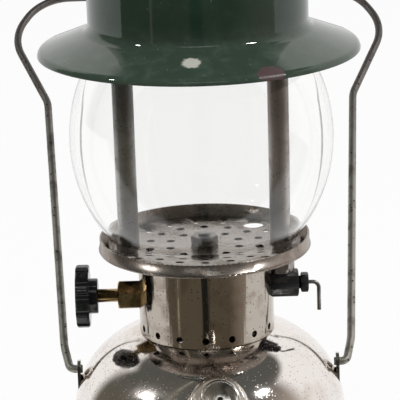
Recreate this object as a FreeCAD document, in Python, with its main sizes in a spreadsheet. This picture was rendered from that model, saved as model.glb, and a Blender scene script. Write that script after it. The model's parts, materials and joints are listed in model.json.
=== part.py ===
import FreeCAD, Part
import math
import os
import Sketcher

# Kerosene pressure lantern. Millimetres, +Z up, origin at the centre of the fount's foot.
# The valve knob is on the -X side, the tip cleaner on the +X side, the pump in front (-Y),
# the filler cap behind, and the bail leans back towards +Y.

SIZES = {
    # fount: a drawn tank with a domed shoulder
    "fount_radius": 65.0,
    "fount_wall": 0.9,
    "fount_foot_curl": 5.0,
    "fount_foot_flat": 2.5,
    "shoulder_height": 54.0,
    "shoulder_curve": 42.0,
    "crown_curve": 110.125,
    "bottom_height": 6.5,
    "bottom_rise": 4.0,
    "bottom_flat_radius": 52.0,
    "bottom_skirt": 6.0,
    # bung in the crown of the fount
    "bung_radius": 9.0,
    "bung_bore": 6.5,
    "bung_depth": 7.0,
    "bung_stand": 1.0,
    # filler
    "filler_elevation": 52.0,
    "filler_azimuth": 200.0,
    "filler_bore": 9.5,
    "filler_neck_radius": 11.0,
    "filler_neck_height": 6.0,
    "filler_neck_depth": 6.0,
    "filler_flange_radius": 14.0,
    "filler_flange_thickness": 1.0,
    "gasket_bore": 5.5,
    "gasket_thickness": 1.6,
    "cap_radius": 14.5,
    "cap_top": 2.6,
    "cap_skirt_gap": 1.6,
    "cap_thread_clearance": 0.3,
    "cap_flutes": 20,
    "cap_flute_radius": 1.1,
    "cap_screw_radius": 3.6,
    "cap_screw_height": 1.6,
    # air pump, standing square to the shoulder
    "pump_elevation": 34.0,
    "pump_azimuth": 4.0,
    "pump_bore": 9.3,
    "pump_tube_wall": 0.8,
    "pump_tube_depth": 95.0,
    "pump_tube_stand": 2.5,
    "pump_seat_radius": 17.5,
    "pump_seat_rise": 1.6,
    "pump_seat_top_radius": 13.5,
    "pump_cap_radius": 12.5,
    "pump_cap_face": 5.3,
    "pump_cap_wall": 1.2,
    "pump_cap_flutes": 36,
    "pump_cap_flute_radius": 0.45,
    "pump_rod_radius": 2.5,
    "pump_rod_bore": 1.3,
    "pump_rod_clearance": 0.06,
    "pump_knob_radius": 9.3,
    "pump_knob_face": 14.3,
    "pump_knob_height": 6.8,
    "pump_knob_wall": 1.4,
    "pump_knob_dish": 0.8,
    "pump_cup_height": 8.0,
    "pump_cup_wall": 1.8,
    "pump_cup_clearance": 0.05,
    "pump_cup_lift": 10.0,
    "pump_spring_wire": 1.2,
    "pump_spring_radius": 5.4,
    "pump_spring_lean": 8.52,
    "pump_spring_turns": 4,
    "air_stem_radius": 0.8,
    "air_stem_length": 62.0,
    "check_valve_radius": 6.5,
    "check_valve_length": 9.0,
    # collar between the fount and the globe rest
    "collar_radius": 32.0,
    "collar_wall": 0.9,
    "collar_flange": 2.2,
    "collar_gap": 0.4,
    "collar_hole_radius": 1.65,
    "collar_hole_lift": 3.9,
    "collar_hole_count": 18,
    "collar_hole_phase": -1.5,
    # globe rest: a shallow pierced dish
    "rest_radius": 49.5,
    "rest_lift": 11.0,
    "rest_sheet": 1.0,
    "rest_rim": 6.0,
    "rest_bead": 0.6,
    "rest_centre_hole": 3.1,
    "draught_hole_radius": 2.0,
    "inner_ring_radius": 17.0,
    "inner_ring_count": 10,
    "middle_ring_radius": 26.5,
    "middle_ring_count": 14,
    "outer_ring_radius": 34.5,
    "outer_ring_count": 16,
    "outer_ring_phase": 6.75,
    "draught_hole_web": 0.8,
    "lighting_hole_radius": 5.2,
    "lighting_hole_place": 36.5,
    "lighting_hole_angle": 48.5,
    # globe
    "globe_radius": 61.5,
    "globe_wall": 2.2,
    "globe_foot_radius": 45.5,
    "globe_barrel_curve": 75.0,
    "globe_neck_curve": 8.0,
    "globe_foot_height": 4.0,
    # uprights, manifold and burner
    "upright_spacing": 72.0,
    "upright_radius": 4.95,
    "upright_clearance": 0.1,
    "air_tube_bore": 4.1,
    "air_tube_drop": 9.0,
    "generator_bore": 3.0,
    "manifold_drop": 7.0,
    "manifold_depth": 10.0,
    "manifold_width": 12.0,
    "manifold_bore": 3.4,
    "burner_neck_radius": 6.0,
    "burner_neck_length": 10.0,
    "burner_cap_radius": 9.0,
    "burner_cap_height": 9.0,
    "burner_slots": 12,
    "burner_slot_width": 1.0,
    "gas_tip_height": 4.0,
    "gas_tip_bore": 0.5,
    # valve
    "valve_lift": 11.7,
    "valve_column_radius": 9.0,
    "valve_column_height": 24.0,
    "valve_arm_radius": 5.2,
    "valve_passage": 2.0,
    "stem_radius": 3.175,
    "stem_clearance": 0.06,
    "stem_inner_end": 6.0,
    "stem_bare_length": 10.1,
    "nut_corner_turn": 0.25,
    "packing_nut_flats": 12.7,
    "packing_nut_length": 6.4,
    "packing_nut_place": 32.4,
    "valve_needle_radius": 1.6,
    "valve_needle_length": 4.0,
    "knob_radius": 15.0,
    "knob_rim_thickness": 9.9,
    "knob_hub_radius": 8.5,
    "knob_hub_length": 2.9,
    "knob_scallops": 8,
    "knob_scallop_radius": 2.6,
    "knob_dish_radius": 9.5,
    "knob_dish_depth": 2.0,
    "knob_edge_round": 1.2,
    "knob_screw_radius": 4.0,
    "knob_screw_height": 1.4,
    "knob_socket_depth": 8.0,
    "pickup_tube_radius": 3.2,
    "pickup_tube_bore": 2.2,
    "pickup_tube_foot": 16.0,
    "pickup_tube_shift": 15.0,
    "pickup_tube_bend": 12.0,
    "pickup_bend_drop": 12.0,
    "pickup_bend_height": 20.0,
    "centre_stud_radius": 3.0,
    "plate_nut_radius": 6.4,
    "plate_nut_height": 4.4,
    # generator block and tip cleaner
    "block_lift": 3.8,
    "block_flats": 11.7,
    "block_start": 24.0,
    "block_end": 44.0,
    "block_arm_radius": 4.2,
    "generator_nut_radius": 6.2,
    "generator_nut_height": 5.0,
    "gland_neck_radius": 3.1,
    "gland_neck_length": 1.0,
    "gland_flats": 8.4,
    "gland_length": 3.7,
    "lever_radius": 0.95,
    "lever_reach": 53.6,
    "lever_drop": 14.0,
    "lever_bend": 3.0,
    "lever_clearance": 0.06,
    "needle_radius": 0.4,
    "needle_dip": 0.4,
    # ventilator
    "brim_radius": 74.5,
    "brim_drop": 12.0,
    "brim_edge_round": 3.2,
    "brim_slope": 21.0,
    "vent_radius": 50.8,
    "vent_sheet": 1.2,
    "vent_fillet": 5.0,
    "vent_height": 55.0,
    "vent_shoulder_round": 7.0,
    "vent_boss_radius": 30.0,
    "vent_boss_slant": 8.0,
    "vent_boss_rise": 8.0,
    "vent_hole_clearance": 0.3,
    "vent_slot_count": 16,
    "vent_slot_width": 9.0,
    "vent_slot_height": 5.5,
    "vent_slot_drop": 10.0,
    "seat_ring_gap": 0.8,
    "seat_ring_clearance": 0.7,
    "seat_ring_sheet": 0.8,
    "seat_ring_skirt": 7.0,
    "baffle_radius": 38.5,
    "baffle_stand": 5.2,
    "baffle_sheet": 0.8,
    "baffle_lip": 3.0,
    "stud_radius": 2.4,
    "stud_shoulder_radius": 5.0,
    "sleeve_radius": 4.5,
    "nut_clearance": 0.06,
    "washer_radius": 7.0,
    "washer_thickness": 1.2,
    "ball_nut_radius": 6.5,
    "ball_nut_neck_radius": 4.6,
    "ball_nut_neck": 3.5,
    "ball_nut_roof": 2.5,
    "stud_thread_gap": 1.0,
    # bail: one wire loop hooked in two ears on the shoulder
    "bail_wire_radius": 1.95,
    "bail_lean": 54.0,
    "bail_pivot_lift": 22.0,
    "bail_clearance": 0.08,
    "bail_stub_end": 60.4,
    "bail_foot_half": 66.4,
    "bail_leg_rise": 13.0,
    "bail_leg_half": 69.4,
    "bail_waist_rise": 168.0,
    "bail_waist_half": 80.3,
    "bail_bulge_rise": 214.6,
    "bail_bulge_half": 100.3,
    "bail_arch_rise": 242.5,
    "bail_arch_half": 85.0,
    "bail_foot_bend": 3.3,
    "bail_leg_bend": 30.0,
    "bail_waist_bend": 18.0,
    "bail_bulge_bend": 27.0,
    "bail_arch_bend": 26.0,
    "ear_sheet": 1.6,
    "ear_place": 61.1,
    "ear_head_radius": 4.6,
    "ear_foot_drop": 10.0,
}

doc = FreeCAD.newDocument("pressure_lantern")
sheet = doc.addObject("Spreadsheet::Sheet", "Sizes")
for row, (alias, number) in enumerate(SIZES.items(), start=1):
    sheet.set(f"A{row}", alias)
    sheet.set(f"B{row}", str(number))
    sheet.setAlias(f"B{row}", alias)
doc.recompute()


class Size:
    """A length or angle that knows both its number and the sheet expression that gives it."""

    def __init__(self, value, text):
        self.value = float(value)
        self.text = text

    @staticmethod
    def of(thing):
        return thing if isinstance(thing, Size) else Size(thing, repr(thing))

    def join(self, sign, other, value):
        return Size(value, f"({self.text} {sign} {other.text})")

    def __add__(self, other):
        other = Size.of(other)
        return self.join("+", other, self.value + other.value)

    def __radd__(self, other):
        return Size.of(other) + self

    def __sub__(self, other):
        other = Size.of(other)
        return self.join("-", other, self.value - other.value)

    def __rsub__(self, other):
        return Size.of(other) - self

    def __mul__(self, other):
        other = Size.of(other)
        return self.join("*", other, self.value * other.value)

    def __rmul__(self, other):
        return Size.of(other) * self

    def __truediv__(self, other):
        other = Size.of(other)
        return self.join("/", other, self.value / other.value)

    def __neg__(self):
        return 0.0 - self


def root(size):
    return Size(math.sqrt(size.value), f"sqrt({size.text})")


def sine(angle):
    return Size(math.sin(math.radians(angle.value)), f"sin({angle.text} * 1 deg)")


def cosine(angle):
    return Size(math.cos(math.radians(angle.value)), f"cos({angle.text} * 1 deg)")


class Sheet:
    """Gives each named size of the sheet as an attribute."""

    def __getattr__(self, name):
        return Size(sheet.get(name), f"Sizes.{name}")

    def whole(self, name):
        return int(sheet.get(name))


size = Sheet()
nodes = {}


def keep_size(name, value):
    """Adds a size worked out from others to the sheet, as a formula under its own name."""
    row = len(SIZES) + len(worked_out) + 1
    worked_out.append(name)
    sheet.set(f"A{row}", name)
    sheet.set(f"B{row}", "=" + value.text.replace("Sizes.", ""))
    sheet.setAlias(f"B{row}", name)
    sheet.recompute()


worked_out = []


# ---- helpers ---------------------------------------------------------------------------------

def bind(thing, **properties):
    for name, value in properties.items():
        thing.setExpression(name, Size.of(value).text)


def node(name, thing):
    """Marks a document object as one sub-part, which is written to its own file."""
    thing.Label = name
    nodes[name] = thing
    return thing


def put(thing, x=0.0, y=0.0, z=0.0, turns=()):
    """Places an object: its turns are (axis letter, angle), the first one outermost."""
    letters = {"X": "1; 0; 0", "Y": "0; 1; 0", "Z": "0; 0; 1"}
    where = "; ".join(Size.of(value).text for value in (x, y, z))
    spins = [f"rotation(vector({letters[a]}); {Size.of(angle).text})" for a, angle in turns]
    spin = " * ".join(spins) if spins else "rotation(vector(0; 0; 1); 0)"
    thing.setExpression("Placement", f"placement(vector({where}); {spin})")
    return thing


def origin_plane(body, role):
    return [plane for plane in body.Origin.OriginFeatures if plane.Role == role][0]


def arc_between(start, end, bend):
    """Arc from start to end; a positive bend turns left, a negative one right."""
    chord = end - start
    middle = (start + end) * 0.5
    rise = abs(bend) - math.sqrt(max(bend * bend - chord.Length ** 2 / 4, 0.0))
    across = FreeCAD.Vector(chord.y, -chord.x, 0).normalize()
    side = 1 if bend > 0 else -1
    return Part.Arc(start, middle + across * (rise * side), end)


def outline(sketch, points):
    """Closed outline of (x, y) or (x, y, bend); bend is the radius of the run that ends there."""
    count = len(points)
    spots = [FreeCAD.Vector(Size.of(p[0]).value, Size.of(p[1]).value, 0) for p in points]
    heads = []
    for i in range(count):
        start, end = spots[i], spots[(i + 1) % count]
        target = points[(i + 1) % count]
        if len(target) == 3:
            bend = Size.of(target[2])
            if bend.value > 0:
                sketch.addGeometry(arc_between(start, end, bend.value), False)
            else:
                sketch.addGeometry(arc_between(end, start, -bend.value), False)
            heads.append((1, 2) if bend.value > 0 else (2, 1))
            mark = sketch.addConstraint(Sketcher.Constraint("Radius", i, abs(bend.value)))
            text = bend.text if bend.value > 0 else (-bend).text
            sketch.setExpression(f"Constraints[{mark}]", text)
        else:
            sketch.addGeometry(Part.LineSegment(start, end), False)
            heads.append((1, 2))
    for i in range(count):
        following = (i + 1) % count
        sketch.addConstraint(
            Sketcher.Constraint("Coincident", i, heads[i][1], following, heads[following][0])
        )
        for kind, axis, value in (("DistanceX", -2, points[i][0]), ("DistanceY", -1, points[i][1])):
            value = Size.of(value)
            if value.value == 0.0:
                sketch.addConstraint(Sketcher.Constraint("PointOnObject", i, heads[i][0], axis))
                continue
            mark = sketch.addConstraint(
                Sketcher.Constraint(kind, -1, 1, i, heads[i][0], value.value)
            )
            sketch.setExpression(f"Constraints[{mark}]", value.text)


def new_body(name):
    return doc.addObject("PartDesign::Body", name)


def sketch_on(body, name, role):
    sketch = body.newObject("Sketcher::SketchObject", name)
    sketch.AttachmentSupport = (origin_plane(body, role), "")
    sketch.MapMode = "FlatFace"
    return sketch


def turned(name, points):
    """Body of revolution about its own Z axis, from an outline of (radius, height) points."""
    body = new_body(name)
    sketch = sketch_on(body, f"{name}_outline", "XZ_Plane")
    outline(sketch, points)
    turn = body.newObject("PartDesign::Revolution", f"{name}_turn")
    turn.Profile = sketch
    turn.ReferenceAxis = (sketch, ["V_Axis"])
    turn.Angle = 360
    sketch.Visibility = False
    return body


def round_holes(body, name, spots, role="XY_Plane"):
    """Cuts round holes of (x, y, radius) through a body, along the plane's normal both ways."""
    sketch = sketch_on(body, f"{name}_circles", role)
    for i, (x, y, radius) in enumerate(spots):
        x, y, radius = Size.of(x), Size.of(y), Size.of(radius)
        centre = FreeCAD.Vector(x.value, y.value, 0)
        sketch.addGeometry(Part.Circle(centre, FreeCAD.Vector(0, 0, 1), radius.value), False)
        for kind, axis, value in (("DistanceX", -2, x), ("DistanceY", -1, y)):
            if value.value == 0.0:
                sketch.addConstraint(Sketcher.Constraint("PointOnObject", i, 3, axis))
                continue
            mark = sketch.addConstraint(Sketcher.Constraint(kind, -1, 1, i, 3, value.value))
            sketch.setExpression(f"Constraints[{mark}]", value.text)
        mark = sketch.addConstraint(Sketcher.Constraint("Radius", i, radius.value))
        sketch.setExpression(f"Constraints[{mark}]", radius.text)
    pocket = body.newObject("PartDesign::Pocket", f"{name}_pocket")
    pocket.Profile = sketch
    pocket.Type = "ThroughAll"
    pocket.Midplane = True
    return pocket


def ring_pattern(body, name, feature, count, angle=360.0):
    """Repeats a feature round the body's Z axis."""
    pattern = body.newObject("PartDesign::PolarPattern", f"{name}_ring")
    pattern.Originals = [feature]
    pattern.Axis = (origin_plane(body, "Z_Axis"), [""])
    pattern.Angle = angle
    pattern.Occurrences = count
    body.Tip = pattern
    return pattern


def rod(name, radius, length, z=0.0):
    thing = doc.addObject("Part::Cylinder", name)
    bind(thing, Radius=radius, Height=length)
    put(thing, z=z)
    return thing


def hexagon(name, flats, length, z=0.0):
    thing = doc.addObject("Part::Prism", name)
    thing.Polygon = 6
    bind(thing, Circumradius=Size.of(flats) / math.sqrt(3.0), Height=length)
    put(thing, z=z)
    return thing


def block(name, lengths, corner):
    thing = doc.addObject("Part::Box", name)
    bind(thing, Length=lengths[0], Width=lengths[1], Height=lengths[2])
    put(thing, *corner)
    return thing


def cut(name, base, *tools):
    tool = tools[0] if len(tools) == 1 else fuse(f"{name}_tools", *tools)
    thing = doc.addObject("Part::Cut", name)
    thing.Base = base
    thing.Tool = tool
    return thing


def fuse(name, *shapes):
    thing = doc.addObject("Part::MultiFuse", name)
    thing.Shapes = list(shapes)
    return thing


def common(name, *shapes):
    thing = doc.addObject("Part::MultiCommon", name)
    thing.Shapes = list(shapes)
    return thing


def hex_nut(name, flats, length, bore):
    """Hexagon with a bore and corners turned off at both ends, from z = 0 upwards."""
    corner = flats / math.sqrt(3.0)
    face = flats / 2 - size.nut_corner_turn
    fall = (corner - face) / 2
    blank = turned(f"{name}_blank", [
        (bore, 0.0), (face, 0.0), (corner, fall), (corner, length - fall), (face, length),
        (bore, length),
    ])
    return common(name, hexagon(f"{name}_hexagon", flats, length), blank)


def rounded_path(corners, bends):
    """Wire through the corners with a tangent arc of its own radius at each inner corner."""
    edges = []
    last = corners[0]
    for i in range(1, len(corners) - 1):
        back = (corners[i - 1] - corners[i]).normalize()
        ahead = (corners[i + 1] - corners[i]).normalize()
        half = back.getAngle(ahead) / 2
        reach = bends[i - 1] / math.tan(half)
        start = corners[i] + back * reach
        end = corners[i] + ahead * reach
        bisector = (back + ahead).normalize()
        crest = corners[i] + bisector * (bends[i - 1] / math.sin(half) - bends[i - 1])
        edges.append(Part.LineSegment(last, start).toShape())
        edges.append(Part.Arc(start, crest, end).toShape())
        last = end
    edges.append(Part.LineSegment(last, corners[-1]).toShape())
    return Part.Wire(edges)


def pipe(path, radius):
    """Round rod of a radius that follows a path."""
    start = path.Vertexes[0].Point
    along = path.Edges[0].tangentAt(path.Edges[0].FirstParameter)
    section = Part.Wire([Part.Circle(start, along, radius).toShape()])
    return path.makePipeShell([section], True, True)


# ---- shared geometry -------------------------------------------------------------------------

def shoulder_point(elevation, offset=0.0):
    """(radius, height) of the fount's shoulder where its normal rises by elevation."""
    reach = size.shoulder_curve + offset
    radius = size.fount_radius - size.shoulder_curve + reach * cosine(elevation)
    return radius, size.shoulder_height + reach * sine(elevation)


def crown_centre():
    """Height of the centre of the flatter arc over the crown, tangent to the shoulder's arc."""
    across = size.fount_radius - size.shoulder_curve
    reach = size.crown_curve - size.shoulder_curve
    return size.shoulder_height - root(reach * reach - across * across)


def crown_level(radius, inset=0.0):
    """Height of the crown at a radius, or of its inner face where inset is the wall."""
    radius = Size.of(radius)
    bend = size.crown_curve - inset
    return crown_centre() + root(bend * bend - radius * radius)


def dome_join(inset=0.0):
    """Point where the shoulder's arc meets the crown's arc."""
    share = (size.crown_curve - inset) / (size.crown_curve - size.shoulder_curve)
    centre = crown_centre()
    across = (size.fount_radius - size.shoulder_curve) * share
    return across, centre + (size.shoulder_height - centre) * share


def derive_heights():
    """Works out the heights that stack up from the crown, and keeps them in the sheet."""
    keep_size("crown_height", crown_centre() + size.crown_curve)
    keep_size("bung_top", size.crown_height + size.bung_stand)
    keep_size("valve_height", size.bung_top + size.valve_lift)
    keep_size("block_height", size.valve_height + size.block_lift)
    keep_size("valve_column_top", size.bung_top + size.valve_column_height)
    keep_size("rest_height", size.valve_column_top + size.rest_lift)
    keep_size("globe_bulge", size.globe_radius - size.globe_foot_radius)
    reach = size.globe_barrel_curve + size.globe_neck_curve
    keep_size("globe_rise", root(2 * size.globe_bulge * reach - size.globe_bulge * size.globe_bulge))
    keep_size("globe_top", size.rest_height + size.rest_sheet + 2 * size.globe_foot_height
              + 2 * size.globe_rise)
    keep_size("manifold_height", size.globe_top - size.manifold_drop)
    keep_size("brim_height", size.globe_top - size.brim_drop)
    keep_size("vent_top", size.brim_height + size.vent_height)
    keep_size("bail_pivot_height", size.shoulder_height + size.bail_pivot_lift)


def on_shoulder(thing, elevation, azimuth, lift=0.0):
    """Stands an object square to the shoulder, at an azimuth counted from the front (-Y)."""
    radius, height = shoulder_point(elevation, lift)
    return put(
        thing,
        x=radius * sine(azimuth),
        y=0.0 - radius * cosine(azimuth),
        z=height,
        turns=[("Z", azimuth), ("X", 90.0 - elevation)],
    )


def fount_envelope(name):
    """The space inside the fount's outer skin, from shoulder to crown, as a cutting tool."""
    join_radius, join_height = dome_join()
    return turned(name, [
        (0.0, size.fount_foot_curl),
        (size.fount_radius, size.fount_foot_curl),
        (size.fount_radius, size.shoulder_height),
        (join_radius, join_height, size.shoulder_curve),
        (0.0, size.crown_height, size.crown_curve),
    ])


# ---- fount -----------------------------------------------------------------------------------

def make_fount():
    wall = size.fount_wall
    join_radius, join_height = dome_join()
    inner_radius, inner_height = dome_join(wall)
    curl = size.fount_foot_curl
    foot_inner = size.fount_radius - curl - size.fount_foot_flat
    shell = turned("fount_shell", [
        (size.bung_radius, crown_level(size.bung_radius)),
        (join_radius, join_height, 0.0 - size.crown_curve),
        (size.fount_radius, size.shoulder_height, 0.0 - size.shoulder_curve),
        (size.fount_radius, curl),
        (size.fount_radius - curl, 0.0, 0.0 - curl),
        (foot_inner, 0.0),
        (foot_inner, wall),
        (size.fount_radius - curl, wall),
        (size.fount_radius - wall, curl, curl - wall),
        (size.fount_radius - wall, size.shoulder_height),
        (inner_radius, inner_height, size.shoulder_curve - wall),
        (size.bung_radius, crown_level(size.bung_radius, wall), size.crown_curve - wall),
    ])
    filler_hole = rod("filler_hole", size.filler_neck_radius, size.filler_neck_depth * 2)
    on_shoulder(filler_hole, size.filler_elevation, size.filler_azimuth, 0.0 - size.filler_neck_depth)
    pump_outer = size.pump_bore + size.pump_tube_wall
    pump_hole = rod("pump_hole", pump_outer, size.pump_seat_radius * 2)
    on_shoulder(pump_hole, size.pump_elevation, size.pump_azimuth, 0.0 - size.pump_seat_radius)
    node("fount_body", cut("fount_body", shell, filler_hole, pump_hole))

    flat = size.bottom_flat_radius
    rise = size.bottom_rise
    bend = (flat * flat + rise * rise) / (2 * rise)
    skirt = size.fount_radius - wall
    low = size.bottom_height
    node("fount_bottom", turned("fount_bottom", [
        (0.0, low + rise),
        (flat, low, 0.0 - bend),
        (skirt, low),
        (skirt, low + size.bottom_skirt),
        (skirt - wall, low + size.bottom_skirt),
        (skirt - wall, low + wall),
        (flat, low + wall),
        (0.0, low + rise + wall, bend),
    ]))
    under = crown_level(size.bung_radius, wall)
    node("valve_bung", turned("valve_bung", [
        (size.bung_bore, under - size.bung_depth),
        (size.bung_radius, under - size.bung_depth),
        (size.bung_radius, size.bung_top),
        (size.bung_bore, size.bung_top),
    ]))


def make_filler():
    neck = size.filler_neck_radius
    tall = size.filler_neck_height
    flange = size.filler_flange_thickness
    blank = turned("filler_neck_blank", [
        (size.filler_bore, 0.0 - size.filler_neck_depth),
        (neck, 0.0 - size.filler_neck_depth),
        (neck, 0.0 - size.cap_skirt_gap * 2),
        (size.filler_flange_radius, 0.0 - size.cap_skirt_gap * 2),
        (neck + flange, flange),
        (neck, flange),
        (neck, tall),
        (size.filler_bore, tall),
    ])
    on_shoulder(blank, size.filler_elevation, size.filler_azimuth)
    inside = rod("filler_neck_core", neck, size.filler_neck_depth + tall)
    on_shoulder(inside, size.filler_elevation, size.filler_azimuth, 0.0 - size.filler_neck_depth)
    outside = cut("filler_flange", blank, fount_envelope("filler_envelope"))
    node("filler_neck", fuse("filler_neck", outside, common("filler_sleeve", blank, inside)))

    node("filler_gasket", on_shoulder(turned("filler_gasket", [
        (size.gasket_bore, tall),
        (neck, tall),
        (neck, tall + size.gasket_thickness),
        (size.gasket_bore, tall + size.gasket_thickness),
    ]), size.filler_elevation, size.filler_azimuth))

    roof = tall + size.gasket_thickness
    bore = neck + size.cap_thread_clearance
    cap = turned("filler_cap", [
        (0.0, roof),
        (bore, roof),
        (bore, size.cap_skirt_gap),
        (size.cap_radius, size.cap_skirt_gap),
        (size.cap_radius, roof + size.cap_top / 2),
        (size.cap_radius - size.cap_top / 2, roof + size.cap_top, size.cap_top / 2),
        (0.0, roof + size.cap_top),
    ])
    flute = round_holes(cap, "cap_flute", [
        (size.cap_radius + size.cap_flute_radius / 2, 0.0, size.cap_flute_radius),
    ])
    ring_pattern(cap, "cap_flute", flute, size.whole("cap_flutes"))
    on_shoulder(cap, size.filler_elevation, size.filler_azimuth)
    node("filler_cap", cap)
    head = size.cap_screw_radius
    top = roof + size.cap_top
    node("filler_cap_screw", on_shoulder(turned("filler_cap_screw", [
        (0.0, top),
        (head, top),
        (head, top + size.cap_screw_height / 2),
        (head - size.cap_screw_height / 2, top + size.cap_screw_height),
        (0.0, top + size.cap_screw_height),
    ]), size.filler_elevation, size.filler_azimuth))


# ---- air pump --------------------------------------------------------------------------------

def on_pump(thing):
    return on_shoulder(thing, size.pump_elevation, size.pump_azimuth)


def make_pump_barrel():
    outer = size.pump_bore + size.pump_tube_wall
    deep = size.pump_tube_depth
    node("pump_tube", on_pump(turned("pump_tube", [
        (size.pump_bore, 0.0 - deep),
        (outer, 0.0 - deep),
        (outer, size.pump_tube_stand),
        (size.pump_bore, size.pump_tube_stand),
    ])))
    node("pump_check_valve", on_pump(turned("pump_check_valve", [
        (0.0, 0.0 - deep - size.check_valve_length),
        (size.check_valve_radius / 2, 0.0 - deep - size.check_valve_length),
        (size.check_valve_radius, 0.0 - deep - size.check_valve_length / 2),
        (size.check_valve_radius, 0.0 - deep - size.pump_tube_wall),
        (outer, 0.0 - deep - size.pump_tube_wall),
        (outer, 0.0 - deep),
        (size.air_stem_radius, 0.0 - deep),
        (0.0, 0.0 - deep),
    ])))
    node("air_stem", on_pump(rod_at("air_stem", size.air_stem_radius, size.air_stem_length, 0.0 - deep)))
    seat = turned("pump_seat_blank", [
        (outer, 0.0 - size.pump_seat_rise * 4),
        (size.pump_seat_radius, 0.0 - size.pump_seat_rise * 4),
        (size.pump_seat_top_radius, size.pump_seat_rise / 2, 0.0 - size.pump_seat_radius),
        (size.pump_seat_top_radius - size.pump_seat_rise / 2, size.pump_seat_rise),
        (outer, size.pump_seat_rise),
    ])
    on_pump(seat)
    node("pump_seat", cut("pump_seat", seat, fount_envelope("pump_envelope")))
    face = size.pump_cap_face
    wall = size.pump_cap_wall
    inner = size.pump_rod_radius + size.pump_rod_clearance
    cap = turned("pump_cap", [
        (inner, face - wall),
        (outer + size.pump_rod_clearance, face - wall),
        (outer + size.pump_rod_clearance, size.pump_seat_rise),
        (size.pump_cap_radius, size.pump_seat_rise),
        (size.pump_cap_radius, face - wall),
        (size.pump_cap_radius - wall, face, wall),
        (inner, face),
    ])
    flute = round_holes(cap, "pump_cap_flute", [
        (size.pump_cap_radius + size.pump_cap_flute_radius / 3, 0.0, size.pump_cap_flute_radius),
    ])
    ring_pattern(cap, "pump_cap_flute", flute, size.whole("pump_cap_flutes"))
    node("pump_cap", on_pump(cap))


def rod_at(name, radius, length, low):
    """Rod made as a turned body, so that it can be placed like its neighbours."""
    return turned(name, [(0.0, low), (radius, low), (radius, low + length), (0.0, low + length)])


def make_pump_plunger():
    deep = size.pump_tube_depth
    cup_low = 0.0 - deep + size.pump_cup_lift
    cup_top = cup_low + size.pump_cup_height
    under_knob = size.pump_knob_face - size.pump_knob_height
    rod_radius = size.pump_rod_radius
    face = size.pump_knob_face
    wall = size.pump_knob_wall
    node("pump_rod", on_pump(turned("pump_rod", [
        (size.pump_rod_bore, cup_low - size.pump_cup_wall),
        (rod_radius, cup_low - size.pump_cup_wall),
        (rod_radius, face - wall * 2),
        (size.pump_rod_bore, face - wall * 2),
    ])))
    knob = size.pump_knob_radius
    node("pump_knob", on_pump(turned("pump_knob", [
        (size.pump_rod_bore, face - wall * 2),
        (rod_radius, face - wall * 2),
        (rod_radius, under_knob + wall),
        (rod_radius + wall, under_knob + wall),
        (rod_radius + wall, face - wall * 2),
        (knob - wall, face - wall * 2),
        (knob - wall, under_knob),
        (knob, under_knob),
        (knob, face - wall),
        (knob - wall, face, wall),
        (knob / 2, face - size.pump_knob_dish, knob * 2),
        (size.pump_rod_bore, face - size.pump_knob_dish),
    ])))
    fit = rod_radius + size.pump_rod_clearance
    skin = size.pump_bore - size.pump_cup_clearance
    node("pump_cup", on_pump(turned("pump_cup", [
        (fit, cup_top - size.pump_cup_wall),
        (skin - size.pump_cup_wall, cup_top - size.pump_cup_wall),
        (skin - size.pump_cup_wall, cup_low),
        (skin, cup_low),
        (skin, cup_top),
        (fit, cup_top),
    ])))
    lean = size.pump_spring_lean
    rise = size.pump_spring_radius * sine(lean)
    halves = []
    for i in range(size.whole("pump_spring_turns") * 2):
        half = doc.addObject("Part::Torus", f"pump_spring_half_{i + 1}")
        bind(half, Radius1=size.pump_spring_radius, Radius2=size.pump_spring_wire / 2)
        half.Angle3 = 180
        put(half, z=rise * (2 * i + 1), turns=[("Z", 180.0 * (i % 2)), ("Y", lean)])
        halves.append(half)
    spring = fuse("pump_spring", *halves)
    on_shoulder(spring, size.pump_elevation, size.pump_azimuth, cup_top + size.pump_spring_wire)
    node("pump_spring", spring)


# ---- valve, generator block and tip cleaner --------------------------------------------------

LEFT = [("Y", -90.0)]
RIGHT = [("Y", 90.0)]


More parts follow.
